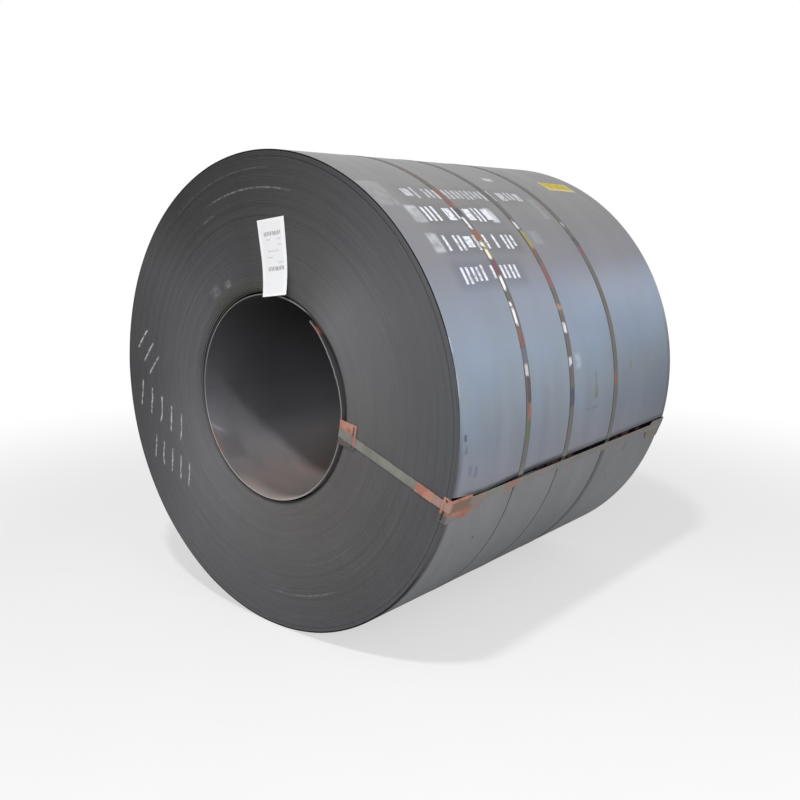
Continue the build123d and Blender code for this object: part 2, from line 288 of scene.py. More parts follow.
class Graph:
    """A node tree that is built by short calls, each of which returns a socket."""

    def __init__(self, tree: bpy.types.NodeTree) -> None:
        """Takes the tree to build in."""
        self.tree = tree

    def node(
        self, kind: str, *values: Any, inputs: dict[Any, Any] | None = None, **settings: Any
    ) -> bpy.types.Node:
        """Adds a node.

        Args:
            kind: Its type.
            values: What its first inputs get.
            inputs: What other inputs get, by their names or numbers.
            settings: Its properties, which are set first.

        Returns:
            The node.
        """
        made = self.tree.nodes.new(kind)
        for name, value in settings.items():
            setattr(made, name, value)
        for key, value in [*enumerate(values), *(inputs or {}).items()]:
            self.put(made.inputs[key], value)
        return made

    def put(self, socket: Socket, value: Any) -> None:
        """Links a socket to another one, or sets its number, vector or colour."""
        if isinstance(value, Socket):
            self.tree.links.new(value, socket)
        elif socket.type == "RGBA" and len(value) == 3:
            socket.default_value = (*value, 1.0)
        else:
            socket.default_value = value

    def math(self, operation: str, *values: Any, clamp: bool = False) -> Socket:
        """A sum of one to three numbers or sockets."""
        return self.node("ShaderNodeMath", *values, operation=operation, use_clamp=clamp).outputs[0]

    def times(self, first: Any, *others: Any) -> Any:
        """A product of numbers or sockets."""
        for value in others:
            first = self.math("MULTIPLY", first, value)
        return first

    def plus(self, first: Any, second: Any) -> Socket:
        """One number more another."""
        return self.math("ADD", first, second)

    def minus(self, first: Any, second: Any) -> Socket:
        """One number less another."""
        return self.math("SUBTRACT", first, second)

    def line(self, value: Any, slope: Any, offset: Any) -> Socket:
        """A value times a slope, with an offset added."""
        return self.math("MULTIPLY_ADD", value, slope, offset)

    def vector(self, x: Any, y: Any, z: Any) -> Socket:
        """A vector of three numbers or sockets."""
        return self.node("ShaderNodeCombineXYZ", x, y, z).outputs[0]

    def noise(
        self, place: Any, scale: float, detail: float = 2.0, rough: float = 0.5, flat: bool = False
    ) -> Socket:
        """A noise between 0 and 1.

        Args:
            place: The vector that it follows, or a number for noise along a line.
            scale: How fine it is.
            detail: How many octaves it has.
            rough: How much the finer octaves count.
            flat: Whether the place is a number.

        Returns:
            The noise's socket.
        """
        size, key = ("1D", "W") if flat else ("3D", "Vector")
        inputs = {key: place, "Scale": scale, "Detail": detail, "Roughness": rough}
        return self.node("ShaderNodeTexNoise", inputs=inputs, noise_dimensions=size).outputs[0]

    def fit(
        self, value: Any, low: Any, high: Any, new_low: float = 0.0, new_high: float = 1.0
    ) -> Socket:
        """A value brought smoothly from one range to another, and held at its ends."""
        numbers = (value, low, high, new_low, new_high)
        return self.node("ShaderNodeMapRange", *numbers, interpolation_type="SMOOTHSTEP").outputs[0]

    def fall(self, value: Any, low: Any, high: Any, end: float = 0.0) -> Socket:
        """1 below a range and 0, or another end, above it."""
        return self.fit(value, low, high, 1.0, end)

    def band(self, value: Any, low: float, high: float, soft: float) -> Socket:
        """1 between two values and 0 outside, with soft edges."""
        rise = self.fit(value, low - soft, low + soft)
        return self.times(rise, self.fall(value, high - soft, high + soft))


class Shader(Graph):
    """A material's node tree, round one Principled shader, whose colour is built up in steps."""

    def __init__(self, name: str) -> None:
        """Makes the material and its shader."""
        self.material = bpy.data.materials.new(name)
        self.material.use_nodes = True
        super().__init__(self.material.node_tree)
        self.tree.nodes.clear()
        self.surface = self.node("ShaderNodeBsdfPrincipled")
        self.output = self.node("ShaderNodeOutputMaterial", self.surface.outputs[0])
        self.place = self.node("ShaderNodeTexCoord").outputs["Object"]
        self.colour: Any = None

    def set(self, name: str, value: Any) -> None:
        """Sets or links one of the shader's inputs."""
        self.put(self.surface.inputs[name], value)

    def speckle(self, scale: float, detail: float = 2.0, rough: float = 0.5) -> Socket:
        """A noise between 0 and 1 that follows the object."""
        return self.noise(self.place, scale, detail, rough)

    def mix(self, share: Any, first: Any, second: Any, blend: str = "MIX") -> Socket:
        """A mix of two colours, by the share of the second one."""
        inputs = {0: share, 6: first, 7: second}
        made = self.node("ShaderNodeMix", inputs=inputs, data_type="RGBA", blend_type=blend)
        return made.outputs[2]

    def ramp(self, share: Any, stops: Stops) -> Socket:
        """A colour that changes through stops, each a place from 0 to 1 and a colour."""
        made = self.node("ShaderNodeValToRGB", share)
        elements = made.color_ramp.elements
        while len(elements) < len(stops):
            elements.new(0.5)
        for element, (place, colour) in zip(elements, stops):
            element.position = place
            element.color = (*colour, 1.0)
        return made.outputs[0]

    def level(self, share: Any, low: float, high: float) -> Socket:
        """A grey multiplier from low to high."""
        value = self.line(share, high - low, low)
        return self.node("ShaderNodeCombineColor", value, value, value).outputs[0]

    def ground(self, share: Any, first: Colour, second: Colour) -> None:
        """Starts the colour as a mix of two screen colours."""
        self.colour = self.mix(share, shade(*first), shade(*second))

    def lay(self, paint: Any, share: float, *masks: Any) -> None:
        """Lays a screen colour, or a colour's socket, over the colour where all masks are."""
        paint = paint if isinstance(paint, Socket) else shade(*paint)
        self.colour = self.mix(self.times(*masks, share), self.colour, paint)

    def dim(self, factor: float, *masks: Any) -> None:
        """Makes the colour darker, or lighter, by a factor where all masks are."""
        level = self.level(self.times(*masks), 1.0, factor)
        self.colour = self.mix(1.0, self.colour, level, "MULTIPLY")

    def vary(self, noise: Any, spread: float) -> None:
        """Makes the colour darker and lighter by a share, with a noise."""
        level = self.level(noise, 1 - spread, 1 + spread)
        self.colour = self.mix(1.0, self.colour, level, "MULTIPLY")

    def tint(self, factors: Colour, *masks: Any) -> None:
        """Multiplies the colour's channels where all masks are."""
        tinted = self.mix(1.0, self.colour, factors, "MULTIPLY")
        self.colour = self.mix(self.times(*masks), self.colour, tinted)

    def dull(self, mask: Any, metallic: float) -> None:
        """Sets how metallic the surface is, and takes its shine away where a mask is."""
        bare = self.minus(1.0, mask)
        self.set("Metallic", self.times(bare, metallic))
        self.set("Specular IOR Level", self.times(bare, 0.5))

    def kept(self, name: str) -> Socket:
        """A number that the mesh keeps at its points."""
        return self.node("ShaderNodeAttribute", attribute_name=name).outputs["Fac"]

    def dice(self, number: Any, seed: float) -> Socket:
        """A random number for a whole number."""
        inputs = {"W": self.plus(number, seed)}
        made = self.node("ShaderNodeTexWhiteNoise", inputs=inputs, noise_dimensions="1D")
        return made.outputs["Value"]

    def coat(
        self,
        noise: Any,
        rough: Span,
        metallic: float | None = None,
        relief: Any = None,
        depth: float = 0.0002,
    ) -> Material:
        """Finishes the material.

        Args:
            noise: The noise by which the roughness varies.
            rough: The least and the greatest roughness.
            metallic: How metallic it is, if that isn't set yet.
            relief: The height of its relief, or nothing for a fine grain.
            depth: How deep the relief is.

        Returns:
            The material.
        """
        self.set("Base Color", self.colour)
        if metallic is not None:
            self.set("Metallic", metallic)
        self.set("Roughness", self.fit(noise, 0.2, 0.8, *rough))
        height = self.speckle(500.0, 3.0) if relief is None else relief
        inputs = {"Strength": 1.0, "Distance": depth, "Height": height}
        self.set("Normal", self.node("ShaderNodeBump", inputs=inputs).outputs[0])
        return self.material


class CoilShader(Shader):
    """A material that knows where it is on the coil."""

    def __init__(self, name: str) -> None:
        """Works out the radius, the angle and the station of a point."""
        super().__init__(name)
        self.across, self.station, height = self.node("ShaderNodeSeparateXYZ", self.place).outputs
        self.rise = self.minus(height, WINDING.axis_height)
        squares = self.times(self.rise, self.rise)
        self.radius = self.math("SQRT", self.line(self.across, self.across, squares))
        turn = self.math("ARCTAN2", self.rise, self.across)
        self.angle = self.math("DEGREES", turn)
        self.cosine, self.sine = self.math("COSINE", turn), self.math("SINE", turn)
        # The hidden side below, faded out before the place where the angles start again
        self.below = self.fit(self.angle, -165.0, -115.0)

    def streaks(
        self, value: Any, fine: float, reach: float, scale: float, detail: float, rough: float = 0.5
    ) -> Socket:
        """A noise that runs round the coil.

        Args:
            value: The station or the radius, across which it changes quickly.
            fine: How quickly it changes that way.
            reach: How quickly it changes round the coil.
            scale: How fine it is in all.
            detail: How many octaves it has.
            rough: How much the finer octaves count.

        Returns:
            The noise's socket.
        """
        turn = (self.times(self.cosine, reach), self.times(self.sine, reach))
        place = self.vector(turn[0], self.times(value, fine), turn[1])
        return self.noise(place, scale, detail, rough)

    def patch(
        self, value: Any, low: float, high: float, soft: float, angles: Span, fade: float
    ) -> Socket:
        """A patch between two values across the coil and two angles round it."""
        return self.times(self.band(value, low, high, soft), self.band(self.angle, *angles, fade))

    def spots(self, value: Any, soft: float, spots: Sequence[Spot], *masks: Any) -> None:
        """Lays patches of colour, which are soft by an amount across the coil, where masks are."""
        for low, high, angles, fade, colour, share in spots:
            self.lay(colour, share, self.patch(value, low, high, soft, angles, fade), *masks)

    def dial(self, stops: Stops) -> Socket:
        """A colour that changes round the coil, by screen colours at angles from -180 to 180."""
        share = self.line(self.angle, 1 / 360, 0.5)
        return self.ramp(share, [(angle / 360 + 0.5, shade(*colour)) for angle, colour in stops])


# ---------------------------------------------------------------- finishes

# Colours round the coil, each an angle and a screen colour
# The shell's own blue grey tone, with painted light and shade round the coil; the bluish stops from
# -12 to 25 degrees are partly a painted reflection of the sky
SHELL_TONE_AND_LIGHT_STOPS = (
    (-180, (131, 132, 135)),
    (-40, (131, 132, 135)),
    (-19, (135, 136, 139)),
    (-12, (141, 143, 153)),
    (-3, (138, 145, 156)),
    (5, (140, 150, 162)),
    (15, (141, 153, 169)),
    (25, (138, 145, 159)),
    (35, (133, 133, 140)),
    (45, (129, 129, 132)),
    (55, (132, 132, 132)),
    (75, (133, 133, 133)),
    (100, (133, 134, 136)),
    (180, (131, 132, 135)),
)
# The ends' charcoal near the bore and near the shell, with painted shade towards the top and
# painted light on the lower left
FACE_INNER_TONE_AND_SHADE_STOPS = (
    (-180, (95, 94, 98)),
    (-140, (110, 109, 112)),
    (-60, (98, 96, 95)),
    (-20, (92, 90, 90)),
    (20, (98, 98, 100)),
    (40, (104, 104, 106)),
    (60, (80, 80, 81)),
    (100, (68, 68, 70)),
    (140, (91, 91, 94)),
    (180, (95, 94, 98)),
)
FACE_OUTER_TONE_AND_SHADE_STOPS = (
    (-180, (68, 68, 70)),
    (-155, (80, 79, 82)),
    (-130, (97, 96, 99)),
    (-60, (82, 81, 83)),
    (0, (79, 80, 83)),
    (30, (84, 84, 87)),
    (60, (67, 67, 69)),
    (100, (50, 50, 51)),
    (125, (50, 50, 51)),
    (145, (80, 79, 81)),
    (180, (68, 68, 70)),
)
STRAP_STOPS = (
    (-180, (128, 128, 130)),
    (-20, (132, 131, 131)),
    (-14, (128, 126, 124)),
    (-12, (112, 113, 110)),
    (4, (105, 104, 101)),
    (20, (104, 100, 97)),
    (60, (98, 92, 88)),
    (90, (96, 90, 87)),
    (180, (128, 128, 130)),
)
# The bore's dark scale, with painted shade towards the top and painted light towards the bottom
BORE_TONE_AND_SHADE_STOPS = (
    (-180, (94, 93, 98)),
    (-165, (110, 109, 114)),
    (-150, (122, 121, 125)),
    (-110, (122, 117, 116)),
    (-60, (120, 115, 113)),
    (0, (84, 83, 86)),
    (60, (50, 50, 52)),
    (120, (56, 56, 58)),
    (140, (70, 70, 73)),
    (180, (96, 95, 100)),
)


@dataclass(frozen=True)
class PaintRow:
    """A row of worn upright paint bars on the shell."""

    angles: Span
    stations: Span
    seed: float
    share: float = 0.95
    pitch: float = 0.055

    def mask(self, graph: CoilShader, wear: Any) -> Socket:
        """Where the bars are, broken up by a noise: 1 on the bars and 0 beside them."""
        cells = graph.line(graph.station, 1 / self.pitch, -self.stations[0] / self.pitch)
        part, number = graph.math("FRACT", cells), graph.math("FLOOR", cells)
        dice, other = graph.dice(number, self.seed), graph.dice(number, self.seed + 40)
        bars = graph.band(part, 0.12, 0.36, 0.04)
        for low, least in ((0.6, 0.3), (0.12, 0.78)):
            there = graph.math("GREATER_THAN", dice, least)
            more = graph.times(graph.band(part, low, 0.84, 0.04), there)
            bars = graph.math("MAXIMUM", bars, more)
        low = graph.line(other, 1.1, self.angles[0])
        high = graph.line(dice, -0.8, self.angles[1])
        return graph.times(
            bars,
            graph.math("GREATER_THAN", graph.angle, low),
            graph.math("LESS_THAN", graph.angle, high),
            graph.band(graph.station, *self.stations, 0.002),
            graph.fit(wear, 0.36, 0.5, 0.35, 1.0),
        )


@dataclass(frozen=True)
class MillScale:
    """The scale on the strip's broad side, as the shell shows it."""

    metallic: float = 0.35
    rows: tuple[PaintRow, ...] = (
        PaintRow((53.5, 58.0), (-0.57, 0.129), 3.0, 0.55),
        PaintRow((46.0, 51.0), (-0.565, -0.19), 11.0),
        PaintRow((37.8, 42.3), (-0.57, -0.158), 23.0),
        PaintRow((29.6, 34.2), (-0.572, -0.239), 31.0),
    )
    # Two stations, two angles and a share
    smears: tuple[tuple[float, float, Span, float], ...] = (
        (-0.634, -0.575, (45.8, 51.0), 0.55),
        (-0.636, -0.585, (37.6, 42.6), 0.5),
        (-0.045, -0.01, (7.6, 11.0), 0.3),
        (-0.205, -0.165, (45.8, 50.6), 0.7),
        (0.05, 0.11, (63.8, 65.4), 0.6),
        (0.16, 0.2, (47.0, 55.0), 0.1),
        (-0.74, -0.64, (51.0, 60.0), 0.14),
        (-0.04, 0.02, (39.0, 43.0), 0.12),
    )
    stains: tuple[Spot, ...] = (
        (0.088, 0.108, (-1.0, 5.6), 0.4, (108, 122, 62), 0.75),
        (0.235, 0.25, (5.5, 8.5), 0.4, (118, 132, 84), 0.5),
        (-0.726, -0.712, (-1.9, -0.5), 0.3, (66, 62, 66), 0.8),
        (-0.722, -0.705, (-4.6, -2.6), 0.5, (98, 96, 96), 0.6),
        (-0.69, -0.672, (-9.6, -7.4), 0.4, (100, 108, 144), 0.45),
        (-0.655, -0.64, (-10.4, -8.0), 0.4, (92, 98, 138), 0.5),
        (-0.532, -0.518, (-28.7, -27.8), 0.3, (82, 80, 84), 0.8),
        (0.393, 0.413, (-28.4, -27.1), 0.3, (84, 84, 86), 0.7),
        (0.372, 0.388, (3.9, 6.1), 0.4, (112, 124, 84), 0.6),
        (0.435, 0.47, (-19.6, -16.8), 0.6, (112, 108, 92), 0.5),
        (0.72, 0.76, (-12.0, 16.0), 4.0, (106, 100, 102), 0.5),
        (0.02, 0.12, (-3.4, -2.9), 0.2, (108, 110, 122), 0.5),
    )

    def make(self) -> Material:
        """Builds the material: blue grey scale with streaks round the coil and worn marks, with
        painted light, shade and sky reflection in its colours.
        """
        graph = CoilShader("shell_scale")
        station, angle = graph.station, graph.angle
        # Colours round the coil, which carry painted light, shade and sky reflection
        graph.colour = graph.dial(SHELL_TONE_AND_LIGHT_STOPS)
        streaks = graph.streaks(station, 24.0, 1.4, 1.0, 3.0, 0.55)
        graph.vary(streaks, 0.07)
        # Bluish clouds from -8 to 40 degrees: partly the scale's own blue cast, partly a painted
        # reflection of the sky
        blue_cast_and_sheen = graph.fit(graph.streaks(station, 3.6, 2.6, 1.4, 3.0), 0.42, 0.66)
        graph.tint((0.86, 1.0, 1.2), graph.band(angle, -8.0, 40.0, 10.0), blue_cast_and_sheen, 0.34)
        graph.vary(graph.streaks(station, 2.4, 1.3, 2.2, 2.0), 0.12)
        specks = graph.speckle(150.0, 3.0, 0.7)
        graph.vary(specks, 0.05)
        graph.dim(0.86, graph.fit(station, 0.0, 0.75), graph.band(angle, -17.0, 13.0, 6.0))
        graph.dim(1.2, graph.fit(station, -0.6, 0.4), graph.band(angle, 20.0, 31.0, 5.0))
        graph.dim(1.35, graph.fit(station, 0.1, 0.7), graph.below, graph.fall(angle, -42.0, -20.0))
        graph.dim(0.5, graph.fall(station, -0.75, -0.715), graph.band(angle, -60.0, -2.0, 6.0))
        graph.dim(0.5, graph.fall(station, -0.742, -0.715), graph.band(angle, -112.0, -18.0, 6.0))
        self.marks(graph)
        self.tail_shade_and_rust(graph)
        relief = graph.plus(streaks, graph.times(specks, 0.5))
        return graph.coat(streaks, (0.46, 0.6), relief=relief, depth=0.0004)

    def marks(self, graph: CoilShader) -> None:
        """Lays on the rows of paint bars, their darker grounds, smears and small stains."""
        wear = graph.speckle(70.0, 3.0, 0.6)
        broken = graph.fit(graph.speckle(26.0, 3.0, 0.6), 0.3, 0.6, 0.35, 1.0)
        for row in self.rows:
            (low, high), (first, last) = row.stations, row.angles
            ends = (low - 0.03, high + 0.03, 0.03)
            graph.dim(0.8, graph.patch(graph.station, *ends, (first - 1, last + 1), 1.6), row.share)
        for row in self.rows:
            graph.lay((236, 238, 246), row.share, row.mask(graph, wear))
        white = (226, 228, 234)
        smears = [(low, high, turn, 0.5, white, share) for low, high, turn, share in self.smears]
        graph.spots(graph.station, 0.008, smears, broken)
        graph.spots(graph.station, 0.004, self.stains, broken)
        # Pale spots on the shell's tagged edge: partly worn bare steel, partly a painted highlight
        # on the edge
        bare = (206, 214, 224)
        worn = [(-0.76, -0.742, turn, 0.6, bare, 0.45) for turn in ((16.2, 19.4), (7.4, 11.8))]
        graph.spots(graph.station, 0.004, worn)

    def tail_shade_and_rust(self, graph: CoilShader) -> None:
        """Lays painted shade on the outer tail's rolled end, a black painted shadow on the lap
        under its step, and rust on the lap below.
        """
        past, station = graph.kept("past_tail"), graph.station
        full = 2 * math.pi * WINDING.outer_radius
        fading = (graph.fit(station, -0.74, -0.6), graph.fall(station, -0.2, 0.1, 0.5))
        # Painted shade on the last two centimetres of the outer tail, where its cut edge rolls over
        graph.lay((40, 40, 46), 0.95, graph.fit(past, full - 0.024, full - 0.003), *fading)
        # A black painted shadow, without shine, on the lap just past the tail's step, 12 to 25 mm
        # wide and wider towards the far end
        wide = graph.fit(station, -0.35, -0.1, 0.0125, 0.025)
        before = graph.math("LESS_THAN", past, wide)
        gap = graph.times(graph.math("GREATER_THAN", past, -0.3), before)
        graph.lay((16, 16, 20), 1.0, gap)
        graph.dull(gap, self.metallic)
        rust = graph.fit(graph.speckle(9.0, 3.0), 0.52, 0.66)
        graph.lay((150, 116, 108), 0.5, graph.band(past, 0.015, 0.07, 0.03), rust)


@dataclass(frozen=True)
class ChalkRow:
    """A row of upright chalk strokes on the tagged end, from one point to another."""

    start: Span
    stop: Span
    strokes: int
    height: float
    width: float = 0.008
    lean: float = 0.25

    def mask(self, graph: CoilShader) -> Socket:
        """Where the strokes are."""
        across, rise = self.stop[0] - self.start[0], self.stop[1] - self.start[1]
        length = math.hypot(across, rise)
        across, rise = across / length, rise / length
        x, z = graph.minus(graph.across, self.start[0]), graph.minus(graph.rise, self.start[1])
        along = graph.line(x, across, graph.times(z, rise))
        above = graph.line(x, -rise, graph.times(z, across))
        wobble = graph.line(graph.speckle(18.0), 0.02, -0.01)
        leant = graph.plus(graph.line(above, self.lean, along), wobble)
        pitch = length / self.strokes
        half = self.width / pitch / 2
        part = graph.math("FRACT", graph.times(leant, 1 / pitch))
        return graph.times(
            graph.band(part, 0.5 - half, 0.5 + half, half * 0.5),
            graph.band(along, 0.0, length, 0.004),
            graph.band(above, -self.height / 2, self.height / 2, 0.006),
            graph.math("LESS_THAN", graph.station, 0.0),
        )


@dataclass(frozen=True)
class LapEdges:
    """The strip's cut edges, which make up the coil's two ends."""

    metallic: float = 0.15
    chalk: tuple[ChalkRow, ...] = (
        ChalkRow((-0.782, 0.182), (-0.675, 0.025), 3, 0.1),
        ChalkRow((-0.820, -0.059), (-0.496, -0.201), 5, 0.105),
        ChalkRow((-0.739, -0.282), (-0.464, -0.388), 5, 0.095),
    )
    # Two radii, two angles, how soft these are, and a share
    light: tuple[tuple[float, float, Span, float, float], ...] = (
        (0.745, 0.7495, (80.0, 112.0), 3.0, 0.45),
        (0.735, 0.739, (-88.0, -64.0), 3.0, 0.35),
        (0.812, 0.8155, (88.0, 128.0), 4.0, 0.18),
        (0.70, 0.704, (112.0, 118.0), 1.0, 0.35),
        (0.436, 0.462, (114.0, 118.5), 1.5, 0.32),
        (0.44, 0.48, (123.0, 129.0), 2.0, 0.24),
        (0.70, 0.702, (-60.0, -22.0), 8.0, 0.16),
        (0.626, 0.629, (-70.0, -48.0), 6.0, 0.16),
    )

    def make(self) -> Material:
        """Builds the material: charcoal edges that differ from lap to lap, with painted light and
        shade round the ends.
        """
        graph = CoilShader("lap_edges")
        inner, outer = graph.dial(FACE_INNER_TONE_AND_SHADE_STOPS), graph.dial(FACE_OUTER_TONE_AND_SHADE_STOPS)
        graph.colour = graph.mix(graph.fit(graph.radius, 0.42, 0.86), inner, outer)
        graph.vary(graph.streaks(graph.radius, 150.0, 1.2, 1.0, 2.0, 0.6), 0.14)
        grime = graph.speckle(9.0, 5.0, 0.65)
        graph.vary(grime, 0.14)
        self.rims(graph)
        self.end_marks(graph)
        return graph.coat(grime, (0.55, 0.75), relief=graph.speckle(420.0), depth=0.0003)

    def rims(self, graph: CoilShader) -> None:
        """Makes the innermost edge bright, with painted light on its lower left, and lays painted
        shade on the recessed laps next to it, above the bore, on the outermost lap and in a
        recessed band near the rim.
        """
        turn, angle, last = graph.kept("turn"), graph.angle, WINDING.last_turn
        first = graph.band(turn, 0.001, 0.985, 0.004)
        # The innermost edge is worn paler; from -172 to -50 degrees it is lighter still, with
        # painted light
        graph.lay((130, 129, 128), 0.9, first)
        graph.lay((166, 162, 158), 1.0, first, graph.band(angle, -172.0, -50.0, 14.0))
        # Painted shade on the recessed laps next to the innermost one
        graph.dim(0.25, graph.fit(turn, 0.985, 1.0), graph.fall(turn, 1.6, 3.2))
        # Painted shade, brownish, on the laps above the bore
        graph.spots(graph.radius, 0.03, [(0.3, 0.42, (85.0, 135.0), 12.0, (74, 74, 62), 0.5)])
        # Painted shade on the outermost lap's edge: darker all round but from -100 to 6 degrees,
        # and black without shine from 16 to 132 and from -130 to -33 degrees
        outermost = graph.fit(turn, last - 1.02, last - 0.98)
        graph.dim(0.5, outermost, graph.minus(1.0, graph.band(angle, -100.0, 6.0, 10.0)))
        above, below = graph.band(angle, 16.0, 132.0, 8.0), graph.band(angle, -130.0, -33.0, 6.0)
        black = graph.times(outermost, graph.plus(above, below))
        graph.lay((38, 38, 40), 0.9, black)
        graph.dull(black, self.metallic)
        # Painted shade on the recessed band of laps about four laps in from the rim, from 14 to 90
        # degrees
        second = graph.band(turn, last - 4.6, last - 3.4, 0.2)
        graph.dim(0.72, second, graph.band(angle, 14.0, 90.0, 12.0))

    def end_marks(self, graph: CoilShader) -> None:
        """Lays on the chalk strokes, thin pale arcs and a red daub at the bore."""
        wear = graph.speckle(60.0, 3.0, 0.6)
        near = graph.math("LESS_THAN", graph.station, 0.0)
        light = [(*row[:4], (176, 176, 176), row[4]) for row in self.light]
        graph.spots(graph.radius, 0.002, light, graph.fit(wear, 0.4, 0.6, 0.25, 1.0), near)
        worn = graph.fit(wear, 0.38, 0.56, 0.3, 1.0)
        for row in self.chalk:
            graph.lay((214, 212, 212), 0.75, row.mask(graph), worn)
        graph.spots(graph.radius, 0.003, [(0.374, 0.389, (41.0, 49.0), 1.5, (152, 84, 76), 0.6)])


@dataclass(frozen=True)
class BoreScale:
    """The scale in the bore, warmer in patches towards the bottom, with painted light and shade."""

    metallic: float = 0.2

    def make(self) -> Material:
        """Builds the material: grey brown scale with soft stains, painted light on the bottom, most
        near the mouth, and painted shade deeper in and towards the top.
        """
        graph = CoilShader("bore_scale")
        station, angle = graph.station, graph.angle
        graph.colour = graph.dial(BORE_TONE_AND_SHADE_STOPS)
        stains = graph.streaks(station, 6.0, 1.4, 1.6, 4.0, 0.6)
        graph.vary(stains, 0.12)
        # Warmer in patches towards the bottom
        rusty = graph.fit(stains, 0.35, 0.6)
        graph.tint((1.12, 1.0, 0.96), graph.band(angle, -128.0, -50.0, 14.0), rusty)
        # Painted light on the bottom of the bore, most near its mouth
        graph.dim(2.1, graph.band(angle, -112.0, -62.0, 14.0), graph.fall(station, -0.76, -0.66))
        graph.dim(1.5, graph.band(angle, -80.0, -40.0, 10.0), graph.fall(station, -0.76, -0.64))
        # Deeper in: painted light on the bottom and painted shade elsewhere
        deep, floor = graph.fit(station, -0.72, -0.4), graph.band(angle, -146.0, -34.0, 12.0)
        graph.dim(1.3, deep, floor)
        graph.dim(0.66, deep, graph.minus(1.0, floor))
        specks = graph.speckle(160.0, 3.0, 0.7)
        graph.vary(specks, 0.06)
        self.marks(graph)
        return graph.coat(stains, (0.5, 0.66), self.metallic, specks, 0.0004)

    def marks(self, graph: CoilShader) -> None:
        """Lays on a pale slanted strip near the mouth, a darker patch under it, a scribble and rust
        at the rim.
        """
        station, angle = graph.station, graph.angle
        slant = graph.line(station, -101.6, graph.plus(angle, 80.1))
        graph.dim(1.5, graph.band(slant, -1.4, 1.4, 1.1), graph.fall(station, -0.73, -0.672))
        graph.dim(0.78, graph.patch(station, -0.735, -0.64, 0.02, (-148.0, -132.0), 4.0))
        wave = graph.line(graph.speckle(30.0), 0.09, -0.045)
        away = graph.minus(station, graph.plus(graph.line(angle, 0.005, 1.075), wave))
        stroke = graph.fall(graph.math("ABSOLUTE", away), 0.003, 0.007)
        graph.lay((70, 66, 70), 0.55, stroke, graph.band(angle, -104.5, -94.0, 0.6))
        graph.spots(station, 0.006, [(-0.76, -0.735, (-152.0, -138.0), 4.0, (140, 92, 82), 0.5)])
        graph.spots(station, 0.01, [(-0.76, -0.71, (43.0, 47.5), 1.2, (158, 94, 88), 0.6)])


@dataclass(frozen=True)
class SealFinish:
    """The girth seals' steel, worn and rusty in patches."""

    metallic: float = 0.3

    def make(self) -> Material:
        """Builds the material."""
        graph = Shader("girth_seal_steel")
        wear = graph.speckle(30.0, 4.0, 0.6)
        graph.ground(graph.fit(wear, 0.35, 0.65), (120, 112, 104), (140, 134, 126))
        graph.lay((120, 76, 56), 1.0, graph.fit(graph.speckle(13.5, 5.0, 0.65), 0.52, 0.64))
        return graph.coat(wear, (0.4, 0.65), self.metallic)


@dataclass(frozen=True)
class Daub:
    """A patch of paint or rust on a girth strap, between two angles and two sides."""

    low: float
    high: float
    colour: Colour
    share: float = 0.9
    sides: Span = (-0.02, 0.02)


